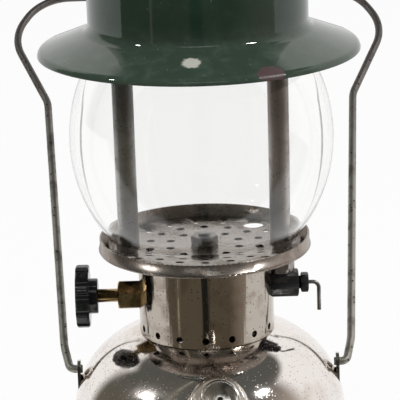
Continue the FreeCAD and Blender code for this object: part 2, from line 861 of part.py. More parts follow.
def make_valve():
    floor = size.bung_top
    column = hexagon("valve_column", size.valve_column_radius * math.sqrt(3.0),
                     size.valve_column_top - floor, floor)
    spigot = rod("valve_spigot", size.bung_bore, size.bung_depth, floor - size.bung_depth)
    arm = rod("valve_arm", size.valve_arm_radius, size.packing_nut_place)
    put(arm, z=size.valve_height, turns=LEFT)
    feed = rod("valve_feed", size.block_arm_radius, size.block_start)
    put(feed, z=size.block_height, turns=RIGHT)
    stem_bore = rod("valve_stem_bore", size.stem_radius + size.stem_clearance, size.packing_nut_place)
    put(stem_bore, x=0.0 - size.stem_inner_end + size.stem_clearance, z=size.valve_height, turns=LEFT)
    needle_bore = rod("valve_needle_bore", size.valve_needle_radius + size.stem_clearance,
                      size.stem_inner_end)
    put(needle_bore, z=size.valve_height, turns=LEFT)
    rise = rod("valve_rise", size.valve_passage, size.block_height - floor + size.bung_depth,
               floor - size.bung_depth)
    across = rod("valve_across", size.valve_passage, size.block_start)
    put(across, z=size.block_height, turns=RIGHT)
    solid = fuse("valve_casting", column, spigot, arm, feed)
    node("valve_body", cut("valve_body", solid, stem_bore, needle_bore, rise, across))

    make_pickup_tube(sheet.get("bung_top") - sheet.get("bung_depth"))

    nut_end = size.packing_nut_place + size.packing_nut_length
    hub_start = nut_end + size.stem_bare_length
    nut = hex_nut("valve_packing_nut", size.packing_nut_flats, size.packing_nut_length,
                  size.stem_radius + size.stem_clearance)
    put(nut, x=0.0 - size.packing_nut_place, z=size.valve_height, turns=LEFT)
    node("valve_packing_nut", nut)
    stem = turned("valve_stem", [
        (0.0, size.stem_inner_end),
        (size.stem_radius, size.stem_inner_end),
        (size.stem_radius, hub_start + size.knob_socket_depth),
        (0.0, hub_start + size.knob_socket_depth),
    ])
    put(stem, z=size.valve_height, turns=LEFT)
    node("valve_stem", stem)
    needle = turned("valve_needle", [
        (0.0, size.stem_inner_end - size.valve_needle_length),
        (size.valve_needle_radius, size.stem_inner_end - size.valve_needle_length / 2),
        (size.valve_needle_radius, size.stem_inner_end),
        (0.0, size.stem_inner_end),
    ])
    put(needle, z=size.valve_height, turns=LEFT)
    node("valve_needle", needle)

    rim_start = hub_start + size.knob_hub_length
    rim_end = rim_start + size.knob_rim_thickness
    edge = size.knob_edge_round
    socket = hub_start + size.knob_socket_depth
    floor_level = rim_end - size.knob_dish_depth
    knob = turned("valve_knob", [
        (size.stem_radius, hub_start),
        (size.knob_hub_radius - edge / 2, hub_start),
        (size.knob_hub_radius, hub_start + edge / 2),
        (size.knob_hub_radius, rim_start),
        (size.knob_radius - edge, rim_start),
        (size.knob_radius, rim_start + edge, edge),
        (size.knob_radius, rim_end - edge),
        (size.knob_radius - edge, rim_end, edge),
        (size.knob_dish_radius + size.knob_dish_depth, rim_end),
        (size.knob_dish_radius, floor_level),
        (0.0, floor_level),
        (0.0, socket),
        (size.stem_radius, socket),
    ])
    groove = round_holes(knob, "knob_scallop", [
        (size.knob_radius + size.knob_scallop_radius / 3, 0.0, size.knob_scallop_radius),
    ])
    ring_pattern(knob, "knob_scallop", groove, size.whole("knob_scallops"))
    put(knob, z=size.valve_height, turns=LEFT)
    node("valve_knob", knob)
    screw = turned("knob_screw", [
        (0.0, floor_level),
        (size.knob_screw_radius, floor_level),
        (size.knob_screw_radius, floor_level + size.knob_screw_height / 2),
        (size.knob_screw_radius / 2, floor_level + size.knob_screw_height),
        (0.0, floor_level + size.knob_screw_height),
    ])
    put(screw, z=size.valve_height, turns=LEFT)
    node("knob_screw", screw)


def make_pickup_tube(top):
    """Tube that hangs from the valve and steps sideways round the pump's barrel."""
    shift = sheet.get("pickup_tube_shift")
    bend_top = top - sheet.get("pickup_bend_drop")
    corners = [
        FreeCAD.Vector(0, 0, top),
        FreeCAD.Vector(0, 0, bend_top),
        FreeCAD.Vector(shift, 0, bend_top - sheet.get("pickup_bend_height")),
        FreeCAD.Vector(shift, 0, sheet.get("pickup_tube_foot")),
    ]
    path = rounded_path(corners, [sheet.get("pickup_tube_bend")] * 2)
    outer = pipe(path, sheet.get("pickup_tube_radius"))
    inner = pipe(path, sheet.get("pickup_tube_bore"))
    tube = doc.addObject("Part::Feature", "fuel_pickup_tube")
    tube.Shape = outer.cut(inner)
    node("fuel_pickup_tube", put(tube))


def make_tip_cleaner():
    half = size.upright_spacing / 2
    long = size.block_end - size.block_start
    body = hex_nut("generator_block_blank", size.block_flats, long, size.lever_radius + size.lever_clearance)
    put(body, x=size.block_start, z=size.block_height, turns=[("Y", 90.0), ("Z", 30.0)])
    rise = rod("generator_block_rise", size.valve_passage, size.block_flats)
    put(rise, x=half, z=size.block_height)
    node("generator_block", cut("generator_block", body, rise))
    top = size.block_height + size.block_flats / 2
    nut = hex_nut("generator_nut", size.generator_nut_radius * math.sqrt(3.0),
                  size.generator_nut_height, size.generator_bore)
    put(nut, x=half, z=top)
    node("generator_nut", nut)

    neck_end = size.block_end + size.gland_neck_length
    bore = size.lever_radius + size.lever_clearance
    neck = turned("gland_neck", [
        (bore, 0.0),
        (size.gland_neck_radius, 0.0),
        (size.gland_neck_radius, size.gland_neck_length),
        (bore, size.gland_neck_length),
    ])
    put(neck, x=size.block_end, z=size.block_height, turns=RIGHT)
    head = hex_nut("gland_head", size.gland_flats, size.gland_length, bore)
    put(head, x=neck_end, z=size.block_height, turns=[("Y", 90.0), ("Z", 30.0)])
    node("cleaner_gland_nut", fuse("cleaner_gland_nut", neck, head))

    bend = size.lever_bend
    shaft = rod("lever_shaft", size.lever_radius, size.lever_reach - bend - half)
    put(shaft, x=half, z=size.block_height, turns=RIGHT)
    elbow = doc.addObject("Part::Torus", "lever_elbow")
    bind(elbow, Radius1=bend, Radius2=size.lever_radius)
    elbow.Angle3 = 90
    put(elbow, x=size.lever_reach - bend, z=size.block_height - bend, turns=[("X", 90.0)])
    leg = rod("lever_leg", size.lever_radius, size.lever_drop - bend)
    put(leg, x=size.lever_reach, z=size.block_height - size.lever_drop)
    node("cleaner_lever", fuse("cleaner_lever", shaft, elbow, leg))

    low = size.block_height + size.lever_radius + size.lever_clearance * 4
    tip_foot = size.manifold_height - size.gas_tip_height / 2
    needle = rod("cleaner_needle", size.needle_radius, tip_foot - size.needle_dip - low)
    put(needle, x=half, z=low)
    node("cleaner_needle", needle)


# ---- collar and globe rest -------------------------------------------------------------------

def make_collar():
    inner = size.collar_radius - size.collar_wall
    foot = crown_level(inner)
    top = size.rest_height
    collar = turned("collar", [
        (inner, foot),
        (size.collar_radius, foot),
        (size.collar_radius, top),
        (size.collar_radius - size.collar_flange, top),
        (size.collar_radius - size.collar_flange, top - size.collar_wall),
        (inner, top - size.collar_wall),
    ])
    count = size.whole("collar_hole_count")
    hole = round_holes(collar, "collar_hole", [
        (0.0, foot + size.collar_hole_lift, size.collar_hole_radius),
    ], role="XZ_Plane")
    ring_pattern(collar, "collar_hole", hole, count // 2, 180.0)
    put(collar, turns=[("Z", size.collar_hole_phase)])
    gap = size.collar_gap
    valve_gap = rod("collar_valve_gap", size.packing_nut_flats / math.sqrt(3.0) + gap,
                    size.collar_radius)
    put(valve_gap, x=0.0 - size.packing_nut_place / 2, z=size.valve_height, turns=LEFT)
    block_gap = rod("collar_block_gap", size.block_flats / math.sqrt(3.0) + gap, size.collar_radius)
    put(block_gap, x=size.block_start - gap, z=size.block_height, turns=RIGHT)
    notches = []
    for side, name in ((-1, "left"), (1, "right")):
        notch = rod(f"collar_notch_{name}", size.generator_nut_radius + gap, top - size.block_height)
        put(notch, x=size.upright_spacing / 2 * side, z=size.block_height)
        notches.append(notch)
    node("collar", cut("collar", collar, valve_gap, block_gap, *notches))

    stud_top = top + size.rest_sheet + size.plate_nut_height + size.rest_sheet
    node("centre_stud", rod("centre_stud", size.centre_stud_radius, stud_top - size.valve_column_top,
                            size.valve_column_top))
    nut = hex_nut("plate_nut", size.plate_nut_radius * math.sqrt(3.0), size.plate_nut_height,
                  size.centre_stud_radius)
    put(nut, z=top + size.rest_sheet)
    node("plate_nut", nut)


def at_angle(radius, angle):
    return radius * cosine(angle), radius * sine(angle)


def outer_ring(large):
    """Outer draught holes, left out where a large hole would break into them."""
    count = size.whole("outer_ring_count")
    small = size.draught_hole_radius
    reach = small.value + size.draught_hole_web.value
    spots = []
    for i in range(count):
        x, y = at_angle(size.outer_ring_radius, size.outer_ring_phase + 360.0 / count * i)
        clear = [math.hypot(x.value - far.value, y.value - Size.of(side).value) - radius.value
                 for far, side, radius in large]
        if min(clear) > reach:
            spots.append((x, y, small))
    return spots


def make_globe_rest():
    low = size.rest_height
    floor = low + size.rest_sheet
    lip = low + size.rest_rim
    outer = size.rest_radius
    bead = size.rest_bead
    rest = turned("globe_rest", [
        (size.rest_centre_hole, low),
        (outer, low),
        (outer + bead, low + bead, bead),
        (outer, low + bead * 2, bead),
        (outer, lip),
        (outer - size.rest_sheet, lip),
        (outer - size.rest_sheet, floor),
        (size.rest_centre_hole, floor),
    ])
    half = size.upright_spacing / 2
    fit = size.upright_radius + size.upright_clearance
    lighting = at_angle(size.lighting_hole_place, size.lighting_hole_angle)
    large = [
        (half, 0.0, fit),
        (0.0 - half, 0.0, fit),
        (lighting[0], lighting[1], size.lighting_hole_radius),
    ]
    round_holes(rest, "rest_upright", large)
    for ring in ("inner", "middle"):
        place = getattr(size, f"{ring}_ring_radius")
        hole = round_holes(rest, f"{ring}_ring", [(0.0, place, size.draught_hole_radius)])
        ring_pattern(rest, f"{ring}_ring", hole, size.whole(f"{ring}_ring_count"))
    round_holes(rest, "outer_ring", outer_ring(large))
    node("globe_rest", rest)


# ---- globe, uprights and burner --------------------------------------------------------------

def make_globe():
    foot = size.rest_height + size.rest_sheet
    radius = size.globe_foot_radius
    wall = size.globe_wall
    neck = size.globe_neck_curve
    barrel = size.globe_barrel_curve
    bulge = size.globe_bulge
    reach = barrel + neck
    rise = size.globe_rise
    low = foot + size.globe_foot_height
    middle = low + rise
    high = middle + rise
    top = size.globe_top

    def meeting(inset, side):
        """Where the neck's hollow curve passes into the barrel's curve."""
        share = (neck + inset) / reach
        across = radius + neck - (reach - bulge) * share
        return across, middle - side * (rise - rise * share)

    lower_out, upper_out = meeting(0.0, 1), meeting(0.0, -1)
    lower_in, upper_in = meeting(wall, 1), meeting(wall, -1)
    node("globe", turned("globe", [
        (radius - wall, foot),
        (radius, foot),
        (radius, low),
        (lower_out[0], lower_out[1], 0.0 - neck),
        (upper_out[0], upper_out[1], barrel),
        (radius, high, 0.0 - neck),
        (radius, top),
        (radius - wall, top),
        (radius - wall, high),
        (upper_in[0], upper_in[1], neck + wall),
        (lower_in[0], lower_in[1], 0.0 - (barrel - wall)),
        (radius - wall, low, neck + wall),
    ]))


def make_uprights():
    half = size.upright_spacing / 2
    radius = size.upright_radius
    top = size.manifold_height
    foot = size.rest_height - size.air_tube_drop
    tube = turned("air_tube", [
        (size.air_tube_bore, foot),
        (radius, foot),
        (radius, top),
        (size.air_tube_bore, top),
    ])
    put(tube, x=0.0 - half)
    node("air_tube", tube)
    foot = size.block_height + size.block_flats / 2 + size.generator_nut_height
    generator = turned("generator", [
        (size.generator_bore, foot),
        (radius, foot),
        (radius, top),
        (size.generator_bore, top),
    ])
    put(generator, x=half)
    node("generator", generator)
    tip = turned("gas_tip", [
        (size.gas_tip_bore, 0.0),
        (size.generator_bore, 0.0),
        (size.generator_bore, size.gas_tip_height / 2),
        (size.gas_tip_bore * 2, size.gas_tip_height),
        (size.gas_tip_bore, size.gas_tip_height),
    ])
    put(tip, x=half, z=top - size.gas_tip_height / 2)
    node("gas_tip", tip)


def make_burner():
    half = size.upright_spacing / 2
    low = size.manifold_height
    width = size.manifold_width
    deep = size.manifold_depth
    bar = block("manifold_bar", (size.upright_spacing, width, deep), (0.0 - half, 0.0 - width / 2, low))
    ends = []
    for side, name in ((-1, "left"), (1, "right")):
        end = rod(f"manifold_end_{name}", width / 2, deep)
        put(end, x=half * side, z=low)
        ends.append(end)
    bore = rod("manifold_bore", size.manifold_bore, size.upright_spacing)
    put(bore, x=0.0 - half, z=low + deep / 2, turns=RIGHT)
    mouths = []
    for side, name in ((-1, "left"), (1, "right")):
        mouth = rod(f"manifold_mouth_{name}", size.manifold_bore, deep / 2)
        put(mouth, x=half * side, z=low)
        mouths.append(mouth)
    drop = rod("manifold_drop", size.manifold_bore, deep / 2, low)
    casting = fuse("manifold_casting", bar, *ends)
    node("burner_manifold", cut("burner_manifold", casting, bore, drop, *mouths))

    neck = size.burner_neck_radius
    mouth = low - size.burner_neck_length
    cap_low = mouth - size.burner_cap_height
    wide = size.burner_cap_radius
    cap = turned("burner_cap", [
        (size.manifold_bore, low),
        (size.manifold_bore, cap_low + size.burner_slot_width),
        (0.0, cap_low + size.burner_slot_width),
        (0.0, cap_low),
        (wide - size.burner_slot_width, cap_low),
        (wide, cap_low + size.burner_slot_width, size.burner_slot_width),
        (wide, mouth),
        (neck, mouth),
        (neck, low),
    ])
    groove = round_holes(cap, "burner_slot", [
        (wide + size.burner_slot_width / 2, 0.0, size.burner_slot_width),
    ])
    ring_pattern(cap, "burner_slot", groove, size.whole("burner_slots"))
    node("burner_cap", cap)


# ---- ventilator ------------------------------------------------------------------------------

def vent_profile(inset):
    """Points of the ventilator's skin from brim edge to shoulder, inset by the sheet."""
    slope = size.brim_slope
    edge = size.brim_edge_round
    fillet = size.vent_fillet
    edge_across = size.brim_radius - edge + (edge - inset) * sine(slope)
    edge_level = size.brim_height + (edge - inset) * cosine(slope)
    corner = size.vent_radius + fillet
    fillet_across = corner - (fillet + inset) * sine(slope)
    run = size.brim_radius - edge + edge * sine(slope) - (corner - fillet * sine(slope))
    climb = run * sine(slope) / cosine(slope)
    fillet_centre = size.brim_height + edge * cosine(slope) + climb + fillet * cosine(slope)
    fillet_level = fillet_centre - (fillet + inset) * cosine(slope)
    return (edge_across, edge_level), (fillet_across, fillet_level), fillet_centre


def make_ventilator():
    sheet_metal = size.vent_sheet
    outer_edge, outer_foot, fillet_level = vent_profile(0.0)
    inner_edge, inner_foot, _ = vent_profile(sheet_metal)
    edge = size.brim_edge_round
    radius = size.vent_radius
    inner = radius - sheet_metal
    top = size.vent_top
    turn = size.vent_shoulder_round
    boss = size.vent_boss_radius
    rise = size.vent_boss_rise
    hole = size.stud_radius + size.vent_hole_clearance
    vent = turned("ventilator", [
        (size.brim_radius - sheet_metal, size.brim_height, 0.0 - (edge - sheet_metal)),
        (size.brim_radius, size.brim_height),
        (outer_edge[0], outer_edge[1], edge),
        (outer_foot[0], outer_foot[1]),
        (radius, fillet_level, 0.0 - size.vent_fillet),
        (radius, top - turn),
        (radius - turn, top, turn),
        (boss, top),
        (boss - size.vent_boss_slant, top + rise),
        (hole, top + rise),
        (hole, top + rise - sheet_metal),
        (boss - size.vent_boss_slant, top + rise - sheet_metal),
        (boss, top - sheet_metal),
        (radius - turn, top - sheet_metal),
        (inner, top - turn, 0.0 - (turn - sheet_metal)),
        (inner, fillet_level),
        (inner_foot[0], inner_foot[1], size.vent_fillet + sheet_metal),
        (inner_edge[0], inner_edge[1]),
    ])
    high = top - size.vent_slot_drop
    low = high - size.vent_slot_height
    half = size.vent_slot_width / 2
    sketch = sketch_on(vent, "vent_slot_outline", "XZ_Plane")
    outline(sketch, [(0.0 - half, low), (half, low), (half, high), (0.0 - half, high)])
    slot = vent.newObject("PartDesign::Pocket", "vent_slot")
    slot.Profile = sketch
    slot.Type = "ThroughAll"
    slot.Midplane = True
    ring_pattern(vent, "vent_slot", slot, size.whole("vent_slot_count") // 2, 180.0)
    node("ventilator", vent)


def make_vent_seat():
    """Ring inside the ventilator that sits just above the globe's top edge."""
    low = size.globe_top + size.seat_ring_gap
    metal = size.seat_ring_sheet
    outer = size.vent_radius - size.vent_sheet
    hole = size.upright_spacing / 2 + size.manifold_width / 2 + size.seat_ring_clearance
    node("vent_seat_ring", turned("vent_seat_ring", [
        (hole, low),
        (outer, low),
        (outer, low + size.seat_ring_skirt),
        (outer - metal, low + size.seat_ring_skirt),
        (outer - metal, low + metal),
        (hole, low + metal),
    ]))


def make_vent_fixing():
    """Baffle, stud, sleeve, washer and ball nut that hold the ventilator down."""
    manifold_top = size.manifold_height + size.manifold_depth
    shelf = manifold_top + size.baffle_stand
    metal = size.baffle_sheet
    wide = size.baffle_radius
    crown = size.vent_top + size.vent_boss_rise
    washer_top = crown + size.washer_thickness
    ball = size.ball_nut_radius
    neck = size.ball_nut_neck_radius
    neck_top = washer_top + size.ball_nut_neck
    centre = neck_top + root(ball * ball - neck * neck)
    bore_top = centre + ball - size.ball_nut_roof
    bore = size.stud_radius + size.nut_clearance
    stud = size.stud_radius
    node("heat_baffle", turned("heat_baffle", [
        (stud, shelf),
        (wide - metal, shelf),
        (wide - metal, shelf - size.baffle_lip),
        (wide, shelf - size.baffle_lip),
        (wide, shelf + metal),
        (stud, shelf + metal),
    ]))
    node("vent_stud", turned("vent_stud", [
        (0.0, manifold_top),
        (size.stud_shoulder_radius, manifold_top),
        (size.stud_shoulder_radius, shelf),
        (stud, shelf),
        (stud, bore_top - size.stud_thread_gap),
        (0.0, bore_top - size.stud_thread_gap),
    ]))
    node("stud_sleeve", turned("stud_sleeve", [
        (stud, shelf + metal),
        (size.sleeve_radius, shelf + metal),
        (size.sleeve_radius, crown - size.vent_sheet),
        (stud, crown - size.vent_sheet),
    ]))
    node("vent_washer", turned("vent_washer", [
        (bore, crown),
        (size.washer_radius, crown),
        (size.washer_radius, washer_top),
        (bore, washer_top),
    ]))
    node("vent_nut", turned("vent_nut", [
        (bore, washer_top),
        (neck, washer_top),
        (neck, neck_top),
        (ball, centre, ball),
        (0.0, centre + ball, ball),
        (0.0, bore_top),
        (bore, bore_top),
    ]))


# ---- bail ------------------------------------------------------------------------------------

def make_bail():
    right = [(sheet.get("bail_foot_half"), 0.0, sheet.get("bail_foot_bend"))]
    for corner in ("leg", "waist", "bulge", "arch"):
        right.append(tuple(sheet.get(f"bail_{corner}_{word}") for word in ("half", "rise", "bend")))
    left = [(-x, z, bend) for x, z, bend in reversed(right)]
    ends = sheet.get("bail_stub_end")
    corners = [FreeCAD.Vector(ends, 0, 0)]
    corners += [FreeCAD.Vector(x, 0, z) for x, z, _ in right + left]
    corners += [FreeCAD.Vector(-ends, 0, 0)]
    path = rounded_path(corners, [bend for _, _, bend in right + left])
    bail = doc.addObject("Part::Feature", "bail")
    bail.Shape = pipe(path, sheet.get("bail_wire_radius"))
    put(bail, z=size.bail_pivot_height, turns=[("X", 0.0 - size.bail_lean)])
    node("bail", bail)


def make_ears():
    envelope = fount_envelope("ear_envelope")
    for side, name in ((-1, "left"), (1, "right")):
        turns = LEFT if side < 0 else RIGHT
        head = rod(f"ear_head_{name}", size.ear_head_radius, size.ear_sheet)
        put(head, x=size.ear_place * side, z=size.bail_pivot_height, turns=turns)
        corner = size.ear_place if side > 0 else 0.0 - size.ear_place - size.ear_sheet
        foot = block(f"ear_foot_{name}", (size.ear_sheet, size.ear_head_radius * 2, size.ear_foot_drop),
                     (corner, 0.0 - size.ear_head_radius, size.bail_pivot_height - size.ear_foot_drop))
        hole = rod(f"ear_hole_{name}", size.bail_wire_radius + size.bail_clearance, size.fount_radius)
        put(hole, x=size.ear_place * side / 2, z=size.bail_pivot_height, turns=turns)
        plate = fuse(f"ear_plate_{name}", head, foot)
        node(f"bail_ear_{name}", cut(f"bail_ear_{name}", plate, hole, envelope))


derive_heights()
make_fount()
make_filler()
make_pump_barrel()
make_pump_plunger()
make_valve()
make_tip_cleaner()
make_collar()
make_globe_rest()
make_globe()
make_uprights()
make_burner()
make_ventilator()
make_vent_seat()
make_vent_fixing()
make_bail()
make_ears()

doc.recompute()

faults = [f"{thing.Label}: {thing.State}" for thing in doc.Objects
          if {"Invalid", "Error"} & set(thing.State)]
for name, thing in nodes.items():
    if thing.Shape.isNull() or not thing.Shape.isValid():
        faults.append(f"{name}: shape is null or not valid")
if faults:
    raise RuntimeError("; ".join(faults))

os.makedirs("parts", exist_ok=True)
for name, thing in nodes.items():
    thing.Shape.exportStep(f"parts/{name}.step")
print(f"{len(nodes)} sub-parts written")
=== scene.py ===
"""Kerosene pressure lantern: smooth surfaces, worn finishes and a pale studio."""

import json
import logging
import math
from collections.abc import Iterator
from dataclasses import dataclass
from enum import Enum

import bmesh
import bpy
import numpy as np
from mathutils import Matrix, Vector


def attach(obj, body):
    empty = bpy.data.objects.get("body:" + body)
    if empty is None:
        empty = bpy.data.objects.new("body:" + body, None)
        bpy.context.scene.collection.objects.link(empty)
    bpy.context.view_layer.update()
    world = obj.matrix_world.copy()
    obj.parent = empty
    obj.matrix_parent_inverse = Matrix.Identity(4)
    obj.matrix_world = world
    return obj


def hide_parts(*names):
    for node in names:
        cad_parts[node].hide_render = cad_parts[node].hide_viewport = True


LOG = logging.getLogger("lantern")
MM = 0.001
FULL_TURN = 2.0 * math.pi
WHITE = (1.0, 1.0, 1.0)
Colour = tuple[float, float, float]
Run = tuple[float, ...]

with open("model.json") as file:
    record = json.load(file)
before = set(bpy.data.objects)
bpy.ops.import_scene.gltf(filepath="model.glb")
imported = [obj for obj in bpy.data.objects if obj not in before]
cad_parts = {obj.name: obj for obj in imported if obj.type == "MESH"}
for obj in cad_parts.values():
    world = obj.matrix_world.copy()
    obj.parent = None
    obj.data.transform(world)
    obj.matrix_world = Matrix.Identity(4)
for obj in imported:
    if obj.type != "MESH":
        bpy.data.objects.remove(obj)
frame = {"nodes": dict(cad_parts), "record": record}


class Crease(Enum):
    """Angle in degrees past which an edge of a piece is drawn sharp."""

    FINE = 18.0
    PLAIN = 32.0
    SOFT = 55.0


# ---- shapes ----------------------------------------------------------------------------------

# Metres within which points are one, and below which an edge is dropped.
MERGE_REACH = 2e-6
SLIVER_REACH = 1e-7


def turn_angles(count: int) -> np.ndarray:
    """Even angles over a whole turn, in radians."""
    return np.linspace(0.0, FULL_TURN, count, endpoint=False)


def arc_points(start: np.ndarray, end: np.ndarray, bend: float, step: float = 4.0) -> np.ndarray:
    """Points on the arc that joins two points, without its start.

    The centre is the chord's middle moved square to the chord by
    sqrt(bend^2 - chord^2 / 4), to the left for a positive bend and to the right for a
    negative one, and the points turn evenly about it.

    Args:
        start: First point, as (radius, height).
        end: Last point.
        bend: The arc's radius, negative where it turns right.
        step: Largest turn between two points, in degrees.

    Returns:
        The points after start, up to and with end, one a row.
    """
    chord = end - start
    length = float(np.hypot(*chord))
    off = math.sqrt(max(bend * bend - length * length / 4.0, 0.0))
    left = np.array([-chord[1], chord[0]]) / length
    centre = (start + end) / 2.0 + left * off * math.copysign(1.0, bend)
    first = math.atan2(*(start - centre)[::-1])
    turn = 2.0 * math.asin(min(1.0, length / 2.0 / abs(bend))) * math.copysign(1.0, bend)
    count = max(2, math.ceil(abs(math.degrees(turn)) / step))
    angle = first + turn * np.arange(1, count + 1) / count
    points = centre + abs(bend) * np.stack([np.cos(angle), np.sin(angle)], axis=1)
    points[-1] = end
    return points


def closed_profile(runs: list[Run], step: float = 4.0) -> np.ndarray:
    """Closed outline of (radius, height) corners, with an arc up to each that has a bend.

    Args:
        runs: Corners in millimetres, as (radius, height) or (radius, height, bend).
        step: Largest turn between two points of an arc, in degrees.

    Returns:
        Points in millimetres, one a row, in the order of the corners.
    """
    spots = [np.array(run[:2], float) for run in runs]
    points = [spots[0][None]]
    for i in range(1, len(runs) + 1):
        start, end, run = spots[i - 1], spots[i % len(runs)], runs[i % len(runs)]
        if len(run) == 3:
            points.append(arc_points(start, end, run[2], step))
        else:
            points.append(end[None])
    return np.concatenate(points)[:-1]


def turned_grid(profile: np.ndarray, angles: np.ndarray,
                reach: np.ndarray | float = math.inf) -> np.ndarray:
    """Vertices of a profile turned about Z: x = r cos a, y = r sin a, z = h.

    Args:
        profile: Points of (radius, height) in millimetres.
        angles: Angles about Z in radians.
        reach: Largest radius, or the largest at each angle, in millimetres.

    Returns:
        Array of (angle, point, xyz) in metres.
    """
    reach = np.broadcast_to(reach, angles.shape)
    radius = np.minimum(profile[None, :, 0], reach[:, None])
    x = np.cos(angles)[:, None] * radius
    y = np.sin(angles)[:, None] * radius
    z = np.broadcast_to(profile[:, 1], x.shape)
    return np.stack([x, y, z], axis=-1) * MM


def loop_faces(rows: int, columns: int) -> np.ndarray:
    """Quads of a grid that closes in both directions: (i, j) to (i + 1, j + 1), wrapped.

    Args:
        rows: Points in the grid's first direction.
        columns: Points in its second direction.

    Returns:
        Point indices as (row, column, corner).
    """
    i, j = np.meshgrid(np.arange(rows), np.arange(columns), indexing="ij")
    ahead, beside = (i + 1) % rows, (j + 1) % columns
    return np.stack([i * columns + j, ahead * columns + j, ahead * columns + beside,
                     i * columns + beside], axis=-1)


def swept_tube(path: np.ndarray, normal: np.ndarray, radius: np.ndarray, sides: int) -> tuple:
    """Round tube along a flat path, closed at both ends.

    A ring stands on each point of the path: centre + radius (across cos t + normal sin t),
    where across is the path's tangent turned in its own plane.

    Args:
        path: Centre-line, one point a row, in metres.
        normal: Unit normal of the path's plane.
        radius: Tube's radius at each point.
        sides: Points in a ring.

    Returns:
        Vertices and faces.
    """
    tangent = np.gradient(path, axis=0)
    tangent /= np.linalg.norm(tangent, axis=1, keepdims=True)
    across = np.cross(normal, tangent)
    t = turn_angles(sides)
    ring = across[:, None] * np.cos(t)[None, :, None] + normal * np.sin(t)[None, :, None]
    verts = (path[:, None] + ring * radius[:, None, None]).reshape(-1, 3)
    i, j = np.meshgrid(np.arange(len(path) - 1), np.arange(sides), indexing="ij")
    beside = (j + 1) % sides
    quads = np.stack([i * sides + j, i * sides + beside, (i + 1) * sides + beside,
                      (i + 1) * sides + j], axis=-1).reshape(-1, 4).tolist()
    last = (len(path) - 1) * sides
    return verts, quads + [list(range(sides))[::-1], list(range(last, last + sides))]


def mesh_object(name: str, verts: np.ndarray, faces: list, crease: Crease) -> bpy.types.Object:
    """Makes a mesh object at the origin, with outward faces and smooth shading.

    Args:
        name: Name of the piece.
        verts: Points in metres, one a row.
        faces: Lists of point indices.
        crease: Angle past which edges are sharp.

    Returns:
        The new object, linked to the scene.
    """
    mesh = bpy.data.meshes.new(name)
    mesh.from_pydata(np.asarray(verts).reshape(-1, 3).tolist(), [], faces)
    finish_mesh(mesh, crease, turn_out=True)
    piece = bpy.data.objects.new(name, mesh)
    bpy.context.scene.collection.objects.link(piece)
    return piece


def finish_mesh(mesh: bpy.types.Mesh, crease: Crease, turn_out: bool) -> None:
    """Merges a mesh's doubled points and shades it smooth between its creases.

    Args:
        mesh: The mesh to finish.
        crease: Angle past which edges are sharp.
        turn_out: True to point every face outwards.
    """
    work = bmesh.new()
    work.from_mesh(mesh)
    bmesh.ops.remove_doubles(work, verts=work.verts, dist=MERGE_REACH)
    bmesh.ops.dissolve_degenerate(work, edges=work.edges, dist=SLIVER_REACH)
    if turn_out:
        bmesh.ops.recalc_face_normals(work, faces=work.faces)
    work.to_mesh(mesh)
    work.free()
    mesh.shade_smooth()
    mesh.set_sharp_from_angle(angle=math.radians(crease.value))


def grid_piece(name: str, verts: np.ndarray, crease: Crease) -> bpy.types.Object:
    """Makes a mesh object of a grid that closes in both directions.

    Args:
        name: Name of the piece.
        verts: Array of (row, column, xyz) in metres.
        crease: Angle past which edges are sharp.

    Returns:
        The new object, linked to the scene.
    """
    faces = loop_faces(*verts.shape[:2]).reshape(-1, 4).tolist()
    return mesh_object(name, verts, faces, crease)


# ---- node trees ------------------------------------------------------------------------------

